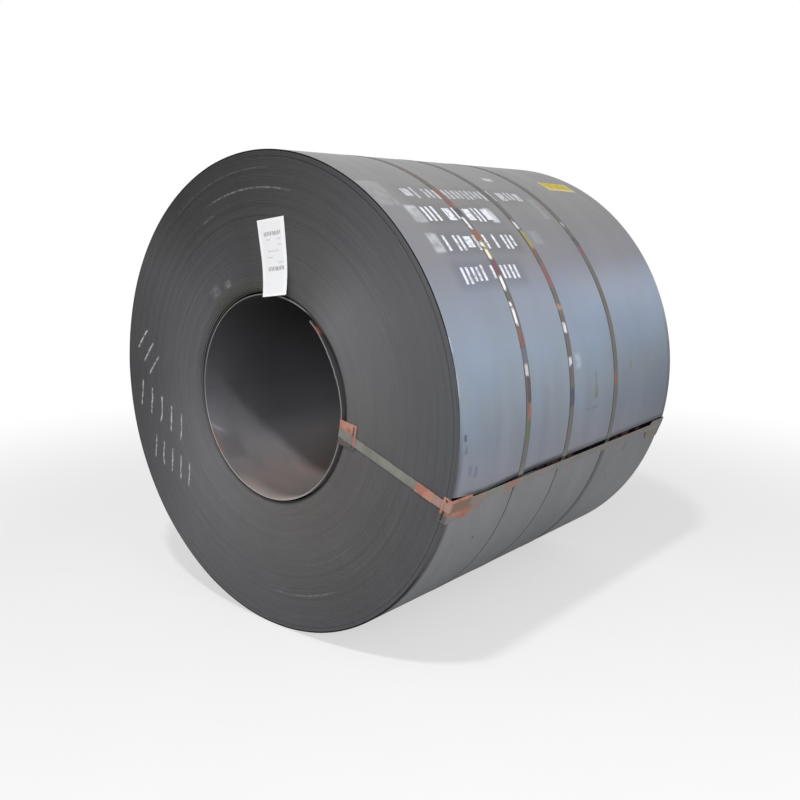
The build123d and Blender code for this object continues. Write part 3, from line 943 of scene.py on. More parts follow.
@dataclass(frozen=True)
class StrapFinish:
    """The girth straps' steel: brown over the tail, grey below it, daubed with paint and rust."""

    metallic: float = 0.25
    daubs: tuple[tuple[Daub, ...], ...] = (
        (
            Daub(50.5, 57.5, (132, 88, 84), 0.75),
            Daub(48.2, 50.6, (74, 74, 78)),
            Daub(43.6, 47.6, (226, 228, 232), 0.95, (-0.012, 0.004)),
            Daub(40.2, 43.4, (150, 98, 70), 0.8),
            Daub(38.7, 39.9, (236, 236, 238), 1.0, (-0.014, 0.004)),
            Daub(35.6, 38.0, (236, 234, 218), 1.0, (-0.012, 0.006)),
            Daub(35.6, 40.0, (176, 166, 84), 0.6, (0.004, 0.02)),
            Daub(31.5, 35.2, (120, 78, 90), 0.75),
            Daub(27.7, 31.1, (238, 238, 240), 1.0, (-0.012, 0.004)),
            Daub(24.0, 24.9, (240, 240, 242), 1.0, (-0.014, 0.0)),
            Daub(19.8, 23.4, (240, 240, 244), 1.0, (-0.012, 0.003)),
            Daub(15.0, 19.0, (132, 92, 84), 0.7),
            Daub(10.8, 14.3, (104, 110, 128), 0.7),
            Daub(8.6, 10.8, (214, 208, 214), 0.9, (-0.01, 0.008)),
            Daub(2.6, 8.4, (88, 72, 70), 0.7, (-0.006, 0.02)),
            Daub(-1.0, 2.6, (186, 104, 96), 0.6, (-0.002, 0.02)),
            Daub(-6.5, -1.4, (98, 112, 84), 0.6),
        ),
        (
            Daub(44.0, 46.2, (214, 212, 212), 0.9, (-0.012, 0.006)),
            Daub(37.6, 43.2, (168, 160, 78), 0.7, (-0.006, 0.02)),
            Daub(35.4, 37.6, (124, 84, 76), 0.75),
            Daub(27.2, 33.4, (140, 92, 92), 0.6),
            Daub(21.6, 23.0, (176, 142, 122), 0.75),
            Daub(16.4, 18.3, (226, 226, 232), 0.95, (-0.012, 0.008)),
            Daub(8.4, 10.3, (216, 220, 230), 0.9, (-0.012, 0.008)),
            Daub(-1.0, 3.2, (72, 78, 98), 0.8),
        ),
        (
            Daub(44.4, 46.0, (190, 184, 184), 0.6, (-0.012, 0.006)),
            Daub(37.6, 40.6, (70, 70, 74), 0.8),
            Daub(34.9, 37.8, (128, 80, 88), 0.7),
            Daub(1.0, 4.5, (140, 100, 90), 0.6),
        ),
    )

    def make(self) -> Material:
        """Builds the material, with painted shade along each strap's edge towards the tagged end
        and a painted shadow where it bends over the tail's step.
        """
        graph = CoilShader("girth_strap_paint")
        station, angle = graph.station, graph.angle
        graph.colour = graph.dial(STRAP_STOPS)
        wear = graph.speckle(34.0, 4.0, 0.6)
        graph.vary(wear, 0.14)
        graph.lay((112, 82, 74), 0.45, graph.fit(graph.speckle(11.0, 5.0, 0.65), 0.58, 0.7))
        edges, step = 0.0, 0.0
        for middle in GIRTH_STATIONS:
            # The strip along each strap's edge towards the tagged end, for painted shade
            edge = graph.band(station, middle - 0.0185, middle - 0.0125, 0.0008)
            corner = float(np.interp(middle, WINDING.tail_stations, WINDING.tail_angles))
            sides = (middle - 0.02, middle + 0.02, 0.001)
            # Where the strap bends over the tail's step, for a painted shadow
            step_shadow = graph.patch(station, *sides, (corner - 0.95, corner + 0.05), 0.15)
            edges, step = graph.plus(edges, edge), graph.plus(step, step_shadow)
        # Painted shade along each strap's edge towards the tagged end, deeper below the tail
        graph.dim(0.42, edges)
        low = graph.times(graph.below, graph.fall(angle, -16.0, -14.0))
        graph.dim(0.5, edges, low)
        graph.dim(0.62, graph.fit(station, 0.2, 0.22), low)
        broken = graph.fit(wear, 0.3, 0.45, 0.5, 1.0)
        ragged = graph.line(graph.speckle(55.0, 3.0), 2.4, graph.minus(angle, 1.2))
        for middle, daubs in zip(GIRTH_STATIONS, self.daubs):
            for daub in daubs:
                left, right = daub.sides
                width = graph.band(station, middle + left, middle + right, 0.002)
                length = graph.band(ragged, daub.low, daub.high, 0.45)
                graph.lay(daub.colour, daub.share, width, length, broken)
        # Painted shadow where each strap bends over the tail's step
        graph.lay((22, 22, 24), 0.9, step)
        return graph.coat(wear, (0.45, 0.7), self.metallic)


@dataclass(frozen=True)
class GuardFinish:
    """The salmon coating of the guards and the eye strap's seal, with worn and rusty parts."""

    metallic: float = 0.15
    strap_lean: float = 20.5

    def make(self) -> Material:
        """Builds the material: salmon paint, brown where the strap bears and red below it."""
        graph = CoilShader("guard_coating")
        station, radius = graph.station, graph.radius
        wear = graph.speckle(26.0, 4.0, 0.6)
        graph.ground(graph.fit(wear, 0.35, 0.65), (184, 136, 120), (166, 112, 98))
        lean = math.radians(self.strap_lean)
        offset = graph.line(graph.across, math.sin(lean), graph.times(graph.rise, math.cos(lean)))
        patches = graph.speckle(40.0, 4.0, 0.65)
        shifted = graph.line(patches, 0.03, graph.minus(offset, 0.015))
        inner, outer = graph.fall(radius, 0.5, 0.52), graph.fit(radius, 0.84, 0.86)
        graph.lay((84, 82, 82), 0.95, graph.fall(shifted, 0.046, 0.056), inner)
        graph.lay((126, 98, 80), 0.8, graph.band(shifted, 0.038, 0.076, 0.01), outer)
        graph.lay((152, 90, 80), 0.7, graph.fall(shifted, 0.024, 0.034), outer)
        graph.lay((122, 74, 64), 0.6, graph.fit(patches, 0.58, 0.7))
        limit = graph.line(station, 19.4, graph.plus(graph.angle, 32.54))
        limit = graph.plus(patches, graph.minus(limit, 0.5))
        greys = shade(78, 78, 80), shade(124, 124, 126)
        steel = graph.mix(graph.fit(station, -0.752, -0.748), *greys)
        graph.lay(steel, 0.92, graph.fall(limit, -0.25, 0.25), graph.fit(radius, 0.7, 0.72))
        graph.lay((124, 122, 116), 0.9, graph.fit(station, 0.0, 0.1), outer)
        return graph.coat(wear, (0.5, 0.7), self.metallic)


@dataclass(frozen=True)
class EyeStrapFinish:
    """The eye strap's steel, close to the shell's grey, with rust stains along it."""

    metallic: float = 0.3
    # Two stations, a screen colour and a share
    stains: tuple[tuple[float, float, Colour, float], ...] = (
        (-0.44, -0.36, (178, 112, 96), 0.6),
        (-0.26, -0.16, (186, 150, 146), 0.5),
        (-0.62, -0.56, (160, 128, 112), 0.5),
        (0.18, 0.27, (140, 128, 112), 0.5),
    )

    def make(self) -> Material:
        """Builds the material."""
        graph = CoilShader("eye_strap_paint")
        station = graph.station
        wear = graph.speckle(30.0, 4.0, 0.6)
        graph.ground(graph.fit(wear, 0.3, 0.7), (126, 126, 120), (140, 139, 132))
        broken = graph.fit(wear, 0.35, 0.5)
        for low, high, stain, share in self.stains:
            graph.lay(stain, share, graph.band(station, low, high, 0.02), broken)
        graph.lay((132, 131, 130), 0.8, graph.fit(station, -0.45, -0.2))
        shell = graph.fit(station, -0.745, -0.735)
        graph.lay((130, 103, 87), 0.85, graph.fall(station, -0.65, -0.63), shell)
        coated = graph.band(graph.radius, 0.765, 0.9, 0.02)
        graph.lay((178, 136, 126), 0.75, coated, graph.minus(1.0, shell))
        graph.lay((124, 104, 88), 0.4, graph.fit(graph.speckle(12.0, 4.0, 0.6), 0.55, 0.68))
        return graph.coat(wear, (0.42, 0.65), self.metallic)


# ---------------------------------------------------------------- geometry node trees


class Weave(Graph):
    """A geometry node tree with named inputs, which ends in plain mesh with its material."""

    def __init__(self, name: str) -> None:
        """Makes the tree and its two ends."""
        super().__init__(bpy.data.node_groups.new(name, "GeometryNodeTree"))
        self.identifiers: dict[str, str] = {}
        for side in ("INPUT", "OUTPUT"):
            kind = "NodeSocketGeometry"
            self.tree.interface.new_socket("Geometry", in_out=side, socket_type=kind)
        self.start, self.stop = self.node("NodeGroupInput"), self.node("NodeGroupOutput")

    def size(self, name: str, kind: str = "Float") -> Socket:
        """Adds a named input to the tree and returns its socket."""
        made = self.tree.interface.new_socket(name, in_out="INPUT", socket_type=f"NodeSocket{kind}")
        self.identifiers[name] = made.identifier
        return self.start.outputs[name]

    def index(self) -> Socket:
        """The number of each point."""
        return self.node("GeometryNodeInputIndex").outputs[0]

    def move(self, line: Socket, place: Socket) -> Socket:
        """A line with its points moved to places."""
        inputs = {"Geometry": line, "Position": place}
        return self.node("GeometryNodeSetPosition", inputs=inputs).outputs[0]

    def outline(self, corners: Sequence[tuple[Any, Any]]) -> Socket:
        """A closed outline through corners, each two numbers or sockets."""
        inputs = {"Resolution": len(corners)}
        ring = self.node("GeometryNodeCurvePrimitiveCircle", inputs=inputs)
        choice = self.node("GeometryNodeIndexSwitch", self.index(), data_type="VECTOR")
        while len(choice.index_switch_items) < len(corners):
            choice.index_switch_items.new()
        for number, (x, y) in enumerate(corners):
            self.put(choice.inputs[number + 1], self.vector(x, y, 0.0))
        return self.move(ring.outputs[0], choice.outputs[0])

    def sweep(self, line: Socket, outline: Socket, upright: Socket) -> Socket:
        """A closed solid that an outline leaves along a line, with its x along the upright."""
        inputs = {"Curve": line, "Normal": upright}
        aimed = self.node("GeometryNodeSetCurveNormal", inputs=inputs, mode="FREE")
        inputs = {"Curve": aimed.outputs[0], "Profile Curve": outline, "Fill Caps": True}
        return self.node("GeometryNodeCurveToMesh", inputs=inputs).outputs[0]

    def close(self, shape: Socket, material: Material) -> None:
        """Ends the tree."""
        real = self.node("GeometryNodeRealizeInstances", shape)
        inputs = {"Geometry": real.outputs[0], "Material": material}
        dressed = self.node("GeometryNodeSetMaterial", inputs=inputs)
        self.put(self.stop.inputs[0], dressed.outputs[0])

    def grow(self, name: str, values: dict[str, Any], points: np.ndarray | None = None) -> Piece:
        """Runs the tree on a new object and keeps its result as a plain mesh.

        Args:
            name: The piece's name.
            values: The tree's inputs by name.
            points: The points of the line that the tree follows, if it follows one.

        Returns:
            The piece, with no modifier left on it.
        """
        mesh = bpy.data.meshes.new(name + "_line")
        if points is not None:
            edges = [(index, index + 1) for index in range(len(points) - 1)]
            mesh.from_pydata(points.tolist(), edges, [])
        seed = add_object(name + "_seed", mesh)
        modifier = seed.modifiers.new("tree", "NODES")
        modifier.node_group = self.tree
        for key, value in values.items():
            modifier[self.identifiers[key]] = value
        bpy.context.view_layer.update()
        evaluated = seed.evaluated_get(bpy.context.evaluated_depsgraph_get())
        grown = bpy.data.meshes.new_from_object(evaluated)
        seed.modifiers.clear()
        bpy.data.objects.remove(seed)
        grown.name = name
        turn_outwards(grown)
        return add_object(name, grown)


def lap_tree(material: Material) -> Weave:
    """The tree that winds the visible ends of the laps between the innermost and the outermost.

    Args:
        material: The finish of the laps.

    Returns:
        The tree. Its line is one spiral, which follows the rule of the winding.
    """
    tree = Weave("wound_laps")
    first, last, edge, swap = map(
        tree.size, ("First Turn", "Last Turn", "Edge Station", "Set Back Share")
    )
    count, outward = tree.size("Points", "Int"), tree.size("Outward", "Vector")
    bore, shell, gauge, thickness = map(
        tree.size, ("Bore Radius", "Shell Radius", "Gauge", "Thickness")
    )
    depth, chamfer, narrow, wide, play, sunk_depth = map(
        tree.size, ("Depth", "Chamfer", "Narrow Gap", "Wide Gap", "Edge Play", "Sunk Depth")
    )
    line = tree.node("GeometryNodeMeshLine", inputs={"Count": count})
    curve = tree.node("GeometryNodeMeshToCurve", inputs={"Mesh": line.outputs[0]})

    def swing(middle: float, power: float) -> Socket:
        """1 at an angle in degrees and 0 across from it, raised to a power."""
        turned = tree.math("COSINE", tree.minus(angle, math.radians(middle)))
        return tree.math("POWER", tree.line(turned, 0.5, 0.5), power)

    # Where along the strip a point is, and at what angle
    share = tree.math("DIVIDE", tree.index(), tree.minus(count, 1.0))
    turn = tree.line(share, tree.minus(last, first), first)
    angle = tree.line(turn, -2 * math.pi, math.radians(WINDING.inner_tail_angle))

    # The radius, from the second lap, which stands off the first, to the last but one
    gap = tree.line(swing(WINDING.wide_gap_angle, 2.0), tree.minus(wide, narrow), narrow)
    second = tree.plus(tree.plus(bore, gauge), gap)
    reach = tree.minus(tree.line(gauge, -2.0, shell), second)
    wound = tree.math("DIVIDE", tree.minus(turn, 1.0), WINDING.last_turn - 2)
    spent = tree.math("DIVIDE", tree.minus(WINDING.sag_start, turn), WINDING.sag_laps)
    lean = tree.times(swing(WINDING.sag_angle, WINDING.sag_power), tree.math("EXPONENT", spent))
    inner = tree.line(lean, -WINDING.sag, tree.line(reach, wound, second))

    # The outer laps bulge a little, to follow the lap that settles outwards under the tail
    past = tree.math("FRACT", tree.minus(turn, WINDING.last_turn - 1))
    rise = tree.math("SINE", tree.times(tree.math("MINIMUM", past, 0.25), 2 * math.pi))
    rise = tree.math("MINIMUM", gauge, tree.times(rise, WINDING.under_shift))
    bulge = tree.minus(rise, tree.times(gauge, past))
    fade = tree.math("DIVIDE", tree.minus(turn, WINDING.last_turn - 31), 30.0, clamp=True)
    inner = tree.line(bulge, tree.math("POWER", fade, 2.0), inner)
    middle = tree.line(thickness, 0.5, inner)

    # How far each lap is set back from the end's plane, in bands and from lap to lap
    bands = tree.fit(tree.noise(turn, 0.13, flat=True), 0.3, 0.7)
    single = tree.noise(turn, 1.9, 1.0, flat=True)
    groove = tree.band(turn, WINDING.last_turn - 4.3, WINDING.last_turn - 3.6, 0.12)
    back = tree.line(bands, 0.4, tree.times(single, 0.14))
    back = tree.times(tree.math("MULTIPLY_ADD", groove, 0.35, back, clamp=True), play)
    back = tree.line(back, swap, tree.times(play, tree.math("LESS_THAN", swap, 0.0)))
    sunk = tree.math("EXPONENT", tree.times(tree.minus(1.25, turn), 0.55))
    back = tree.line(sunk, sunk_depth, back)
    side = tree.node("ShaderNodeSeparateXYZ", outward).outputs[1]
    station = tree.minus(edge, tree.times(back, side))

    height = tree.line(middle, tree.math("SINE", angle), WINDING.axis_height)
    place = tree.vector(tree.times(middle, tree.math("COSINE", angle)), station, height)
    kept = tree.node(
        "GeometryNodeStoreNamedAttribute",
        inputs={"Geometry": tree.move(curve.outputs[0], place), "Name": "turn", "Value": turn},
        data_type="FLOAT",
        domain="POINT",
    )
    half = tree.times(thickness, 0.5)
    under, deep, eased = (tree.times(value, -1.0) for value in (half, depth, chamfer))
    top, foot = tree.minus(half, chamfer), tree.minus(chamfer, half)
    corners = [(deep, under), (deep, half), (eased, half), (0.0, top), (0.0, foot), (eased, under)]
    tree.close(tree.sweep(kept.outputs[0], tree.outline(corners), outward), material)
    return tree


def band_tree(material: Material) -> Weave:
    """The tree that lays a flat steel band along a line, with its width along one input."""
    tree = Weave("flat_band")
    width, thickness, chamfer = map(tree.size, ("Width", "Thickness", "Chamfer"))
    across = tree.size("Across", "Vector")
    curve = tree.node("GeometryNodeMeshToCurve", inputs={"Mesh": tree.start.outputs[0]})
    inputs = {"Width": width, "Height": thickness}
    sheet = tree.node("GeometryNodeCurvePrimitiveQuadrilateral", inputs=inputs, mode="RECTANGLE")
    inputs = {"Curve": sheet.outputs[0], "Count": 1, "Radius": chamfer}
    eased = tree.node("GeometryNodeFilletCurve", inputs=inputs, mode="POLY")
    tree.close(tree.sweep(curve.outputs[0], eased.outputs[0], across), material)
    return tree


# ---------------------------------------------------------------- the coil


@dataclass
class WoundCoil:
    """The strip itself: the outermost and the innermost lap, the laps between, and their core."""

    shell_segments: int = 420
    shell_columns: int = 26
    bore_segments: int = 250
    bore_columns: int = 8
    core_segments: int = 160
    laps_per_turn: int = 120
    lap_depth: float = 0.028
    core_half_width: float = 0.7235
    chamfer: float = 0.0005
    bore_reach: float = 1.25
    under_reach: float = 0.1
    edge_dip: float = 0.0006
    edge_rest: float = 0.0008
    bore_edge_rest: float = 0.0012
    sunk_depth: float = 0.010
    nick_depth: float = 0.004
    core_play: float = 0.0006
    end_facing: float = 0.3

    def build(self) -> None:
        """Builds the four kinds of piece and dresses them."""
        shell, edges, bore = MillScale().make(), LapEdges().make(), BoreScale().make()
        outer, inner = self.outer_lap(), self.inner_lap()
        for piece, side in ((outer, shell), (inner, bore)):
            finish_piece(piece, [side, edges], "coil")
            # finish_piece clears the materials and with them these numbers, so they come last
            for face in piece.data.polygons:
                face.material_index = int(abs(face.normal.y) > self.end_facing)
        finish_piece(self.core(), [edges], "coil", sharp=0.0)
        tree = lap_tree(edges)
        for end in End:
            finish_piece(self.laps(tree, end), [edges], "coil")

    def set_back(self, turn: np.ndarray) -> np.ndarray:
        """How far the outermost lap's tagged edge is set back at each place along the strip."""
        angle = (WINDING.angle(turn) + 180) % 360 - 180
        rise = np.clip((angle + 25) / 30, 0, 1) * np.clip((100 - angle) / 40, 0, 1)
        turned = np.radians(angle)
        wave = 0.0006 * np.sin(turned * 5) + 0.0004 * np.sin(turned * 11 + 1)
        return self.edge_rest + self.edge_dip * rise + np.abs(wave)

    def ribbon(
        self,
        name: str,
        places: Callable[[np.ndarray], np.ndarray],
        outside: Callable[[np.ndarray], np.ndarray],
        edges: Callable[[np.ndarray], tuple[np.ndarray, np.ndarray]],
        columns: int,
    ) -> Piece:
        """A lap of the strip over its whole width, as a closed solid.

        Args:
            name: The piece's name.
            places: Gives the places along the strip, ring by ring, at the stations of the columns.
            outside: Gives the radius of the strip's outer side at places along it.
            edges: Gives the stations of the strip's two edges at places along it.
            columns: How many columns of faces the width has.

        Returns:
            The piece.
        """
        shares = np.linspace(0, 1, columns + 1)
        stations = WINDING.half_width * (2 * shares - 1)
        grid = places(stations)
        low, high = edges(grid[:, 0])
        ease, thick = self.chamfer, WINDING.thickness
        wide = (low + ease)[:, None] + (high - low - 2 * ease)[:, None] * shares
        radius, angle = outside(grid), WINDING.angle(grid)
        top, bottom = (WINDING.place(radius - depth, angle, wide) for depth in (0, thick))

        def flat(column: int, station: np.ndarray) -> list[np.ndarray]:
            """The two points of one edge's flat, from the outside to the inside."""
            return [
                WINDING.place(radius[:, column] - depth, angle[:, column], station)[:, None]
                for depth in (ease, thick - ease)
            ]

        right, left = flat(-1, high), flat(0, low)
        rings = np.concatenate([top, *right, bottom[:, ::-1], *left[::-1]], axis=1)
        faces = loft(rings, closed=False)
        around, size = rings.shape[1], columns + 1
        for start in (0, (len(rings) - 1) * around):
            for column in range(columns):
                under = start + 2 * size + 1 - column
                faces.append([start + column, start + column + 1, under - 1, under])
            faces.append([start + size + step for step in (-1, 0, 1, 2)])
            faces.append([start, *(start + 2 * size + step for step in (1, 2, 3))])
        piece = make_mesh(name, rings, faces)
        past = (grid - WINDING.end_turn(stations)[None, :] + 1) * 2 * math.pi * WINDING.outer_radius
        right, left = past[:, -1:], past[:, :1]
        past = np.concatenate([past, right, right, past[:, ::-1], left, left], axis=1)
        turns = np.repeat(grid[:, :1], around, axis=1)
        for key, values in (("past_tail", past), ("turn", turns)):
            kept = piece.data.attributes.new(key, "FLOAT", "POINT")
            kept.data.foreach_set("value", values.astype(np.float32).ravel())
        return piece

    def outer_lap(self) -> Piece:
        """The outermost lap, whose end stands over the lap below along a skewed line."""
        shares = np.linspace(0, 1, self.shell_segments + 1)[:, None]
        start = WINDING.last_turn - 1 - self.under_reach
        half, play = WINDING.half_width, WINDING.edge_play
        return self.ribbon(
            "outer_lap",
            lambda stations: start + (WINDING.end_turn(stations)[None, :] - start) * shares,
            WINDING.outer_side,
            lambda turn: (self.set_back(turn) - half, half - play + self.set_back(turn)),
            self.shell_columns,
        )

    def inner_lap(self) -> Piece:
        """The innermost lap, which has sprung off the next one, with the tail in the bore."""
        shares = np.linspace(0, 1, self.bore_segments + 1)[:, None]

        def edges(turn: np.ndarray) -> tuple[np.ndarray, np.ndarray]:
            """The two edges, which sink behind the tail, and are nicked near it at one end."""
            sunk = self.sunk_depth * np.clip((turn - 0.93) / 0.12, 0, 1)
            wave = np.abs(np.sin(turn * 211) * np.sin(turn * 97 + 0.6))
            nicks = self.nick_depth * wave * np.clip(1 - np.abs(turn - 0.09) / 0.05, 0, 1)
            half, rest = WINDING.half_width, self.bore_edge_rest
            return rest - half + sunk + nicks, half - WINDING.edge_play + rest - sunk

        return self.ribbon(
            "inner_lap",
            lambda stations: self.bore_reach * shares + 0 * stations[None, :],
            lambda turn: WINDING.inner_side(turn) + WINDING.thickness,
            edges,
            self.bore_columns,
        )

    def core(self) -> Piece:
        """What lies behind the ends of the laps: a plain ring, hidden on all sides."""
        angles = np.linspace(0, 360, self.core_segments, endpoint=False)
        inside = WINDING.bore_radius + 2 * WINDING.gauge + WINDING.opening(angles)
        turns = (WINDING.inner_tail_angle - angles) % 360 / 360 + 2
        inside = inside + self.core_play - WINDING.sagging(turns)
        outside = np.full_like(inside, WINDING.outer_radius - 3 * WINDING.gauge)
        half = self.core_half_width
        corners = [(inside, -half), (inside, half), (outside, half), (outside, -half)]
        rings = np.stack([WINDING.place(radius, angles, y) for radius, y in corners], axis=1)
        return make_mesh("coil_core", rings, loft(rings, closed=True))

    def laps(self, tree: Weave, end: End) -> Piece:
        """The visible ends of the laps between the innermost and the outermost, at one end."""
        first, last = self.bore_reach, WINDING.last_turn - 1 - self.under_reach
        values = {
            "First Turn": first,
            "Last Turn": last,
            "Points": round((last - first) * self.laps_per_turn) + 1,
            "Edge Station": end.value * WINDING.half_width,
            "Outward": (0.0, float(end.value), 0.0),
            "Set Back Share": 1.0 if end is End.TAGGED else -1.0,
            "Bore Radius": WINDING.bore_radius,
            "Shell Radius": WINDING.outer_radius,
            "Gauge": WINDING.gauge,
            "Thickness": WINDING.thickness,
            "Depth": self.lap_depth,
            "Chamfer": self.chamfer,
            "Narrow Gap": WINDING.narrow_gap,
            "Wide Gap": WINDING.wide_gap,
            "Edge Play": WINDING.edge_play,
            "Sunk Depth": self.sunk_depth,
        }
        return tree.grow(f"laps_{end.name.lower()}", values)


# ---------------------------------------------------------------- straps, seals and guards


@dataclass
class GirthStraps:
    """The three straps round the coil, tight over the step at the strip's outer end."""

    seal_angles: tuple[float, ...] = (158.0, 171.0, 163.0)
    width: float = 0.032
    thickness: float = 0.0007
    chamfer_share: float = 0.3
    play: float = 0.00004
    lap_length: float = 0.124
    step_degrees: float = 0.75
    last_gap: float = 0.001

    def radius(self, angle: np.ndarray, station: float, clear: float) -> np.ndarray:
        """How far a tight strap is from the eye at each angle.

        Args:
            angle: Angles round the coil, falling from the tail's corner.
            station: The strap's place along the eye.
            clear: How far off the steel the strap's line is.

        Returns:
            The radius at each angle, straight from the tail's corner to the lap below.
        """
        near = WINDING.end_turn(np.array([station - self.width / 2, station + self.width / 2]))
        corner_angle = float(np.min(WINDING.angle(near) - WINDING.angle(WINDING.last_turn)))
        corner_angle += WINDING.tail_angle
        outer = WINDING.outer_radius + clear
        under, shift = outer - WINDING.gauge, WINDING.under_shift
        rejoin = WINDING.tail_angle - 90
        centre_turn, turn = math.radians(rejoin), math.radians(corner_angle)
        centre = np.array([math.cos(centre_turn), math.sin(centre_turn)]) * shift
        away = outer * np.array([math.cos(turn), math.sin(turn)]) - centre
        landing = math.atan2(away[1], away[0]) - math.acos(min(1.0, under / np.hypot(*away)))
        reach = float(centre @ np.array([math.cos(landing), math.sin(landing)])) + under
        place = np.radians(angle)
        swing = place - centre_turn
        straight = np.minimum(reach / np.cos(place - landing), outer)
        settled = shift * np.cos(swing) + np.sqrt(under**2 - (shift * np.sin(swing)) ** 2)
        below = np.where(angle > math.degrees(landing), straight, np.minimum(settled, outer))
        return np.where((angle < corner_angle) & (angle > rejoin), below, outer)

    def build(self) -> None:
        """Builds each strap as one band, doubled at its seal, and dresses the seals."""
        paint, seal = StrapFinish().make(), SealFinish().make()
        tree = band_tree(paint)
        overlap = math.degrees(self.lap_length / WINDING.outer_radius)
        values = {
            "Width": self.width,
            "Thickness": self.thickness,
            "Chamfer": self.thickness * self.chamfer_share,
            "Across": (0.0, 1.0, 0.0),
        }
        for number, (station, middle) in enumerate(zip(GIRTH_STATIONS, self.seal_angles), 1):
            layers = []
            for layer, reach in enumerate((360.0, overlap)):
                count = max(8, round(reach / self.step_degrees)) + 1
                sweep = middle + overlap / 2 - np.linspace(0.0, reach, count)
                clear = self.play + self.thickness / 2 + layer * self.thickness
                radius = self.radius((sweep + 180) % 360 - 180, station, clear)
                points = WINDING.place(radius, sweep, station)
                if layer == 0:
                    points[-1] = WINDING.place(radius[-1], sweep[-1] + self.last_gap, station)
                layers.append(tree.grow(f"girth_band_{number}_{layer}", values, points))
            piece = join(layers, f"girth_band_{number}")
            finish_piece(piece, [paint], f"girth_strap_{number}")
            dress_node(f"girth_seal_{number}", seal)


def join(pieces: Sequence[Piece], name: str) -> Piece:
    """Joins pieces, which are removed, into one mesh object with a new name."""
    mesh = bpy.data.meshes.new(name)
    with editing(mesh) as shape:
        for piece in pieces:
            shape.from_mesh(piece.data)
            bpy.data.objects.remove(piece)
    return add_object(name, mesh)


@dataclass
class EyeStrap:
    """The strap through the eye, with its seal and the four guards under it."""

    guards: tuple[str, ...] = (
        "inner_guard_tagged",
        "inner_guard_plain",
        "outer_guard_tagged",
        "outer_guard_plain",
    )

    def build(self) -> None:
        """Dresses the strap, the guards and its seal."""
        dress_node("eye_strap", EyeStrapFinish().make())
        coated = GuardFinish().make()
        for node in (*self.guards, "eye_seal"):
            dress_node(node, coated)


# ---------------------------------------------------------------- tag and sticker


@dataclass
class Tag:
    """The paper tag on the end, held at its head, with its foot curling away."""

    width: float = 0.140
    foot_share: float = 0.87
    height: float = 0.267
    angle: float = 82.9
    radius: float = 0.5125
    turn: float = 6.8
    flat_share: float = 0.45
    curl: float = 0.01798
    thickness: float = 0.0004
    play: float = 0.0001
    columns: int = 14
    rows: int = 36

    def build(self) -> None:
        """Builds the tag as a curved sheet with a thickness."""
        middle = WINDING.place(self.radius, self.angle, -WINDING.half_width - self.play)
        up = np.array([-math.sin(math.radians(self.turn)), 0, math.cos(math.radians(self.turn))])
        side = np.array([up[2], 0, -up[0]])
        out = np.array([0.0, -1.0, 0.0])
        bend = self.height * (1 - self.flat_share)
        arc_radius = (bend**2 + self.curl**2) / (2 * self.curl)
        shares = np.linspace(-0.5, 0.5, self.columns + 1)
        rings = []
        for row in range(self.rows + 1):
            down = self.height * row / self.rows
            past = max(0.0, down - self.height * self.flat_share)
            lift = arc_radius - math.sqrt(max(arc_radius**2 - past**2, 0.0))
            line = middle + up * (self.height / 2 - down) + out * lift
            width = self.width * (1 - (1 - self.foot_share) * row / self.rows)
            rings.append([line + side * width * share for share in shares])
        front = np.array(rings)
        piece = sheet_solid("tag_sheet", front, front + out * self.thickness)
        finish_piece(piece, [self.paper(middle, up, side)], "tag", sharp=40.0)

    def paper(self, middle: np.ndarray, up: np.ndarray, side: np.ndarray) -> Material:
        """Builds the tag's finish: white card with two strips of bars and short grey lines.

        Args:
            middle: The tag's middle.
            up: The direction towards its head.
            side: The direction towards its right side.

        Returns:
            The material.
        """
        graph = Shader("tag_paper")
        stains = graph.speckle(22.0, 4.0, 0.6)
        graph.ground(graph.fit(stains, 0.4, 0.75, 0.0, 0.35), (246, 246, 246), (226, 225, 222))

        def along(line: np.ndarray) -> Socket:
            """How far a point is from the tag's middle in a direction."""
            values = (graph.place, tuple(line.tolist()))
            made = graph.node("ShaderNodeVectorMath", *values, operation="DOT_PRODUCT")
            return graph.minus(made.outputs["Value"], float(middle @ line))

        down = graph.line(along(up), -1 / self.height, 0.5)
        narrowing = graph.line(down, self.foot_share - 1, 1.0)
        right = graph.math("DIVIDE", graph.times(along(side), 1 / self.width), narrowing)
        right = graph.plus(right, 0.5)
        inside = (graph.band(right, 0.1, 0.86, 0.02), graph.band(down, 0.03, 0.97, 0.01))
        graph.lay((234, 235, 238), 0.7, *inside)
        bars = graph.fit(graph.noise(right, 34.0, 1.0, flat=True), 0.44, 0.56)
        reach = graph.minus(down, graph.times(graph.noise(right, 7.0, 1.0, flat=True), 0.03))
        for low, high, left, stop in ((0.165, 0.205, 0.2, 0.82), (0.62, 0.66, 0.24, 0.88)):
            tall = graph.band(reach, low - 0.012, high, 0.006)
            graph.lay((96, 96, 100), 0.85, tall, graph.band(right, left, stop, 0.02), bars)
        words = graph.fit(graph.noise(right, 60.0, flat=True), 0.42, 0.5)
        for height, left, stop in (
            (0.27, 0.24, 0.42),
            (0.27, 0.66, 0.82),
            (0.345, 0.68, 0.84),
            (0.42, 0.28, 0.72),
            (0.50, 0.24, 0.46),
            (0.575, 0.64, 0.88),
        ):
            line = graph.band(down, height - 0.008, height + 0.008, 0.004)
            graph.lay((150, 150, 154), 0.55, line, graph.band(right, left, stop, 0.015), words)
        return graph.coat(stains, (0.6, 0.8), relief=graph.speckle(700.0), depth=0.0001)


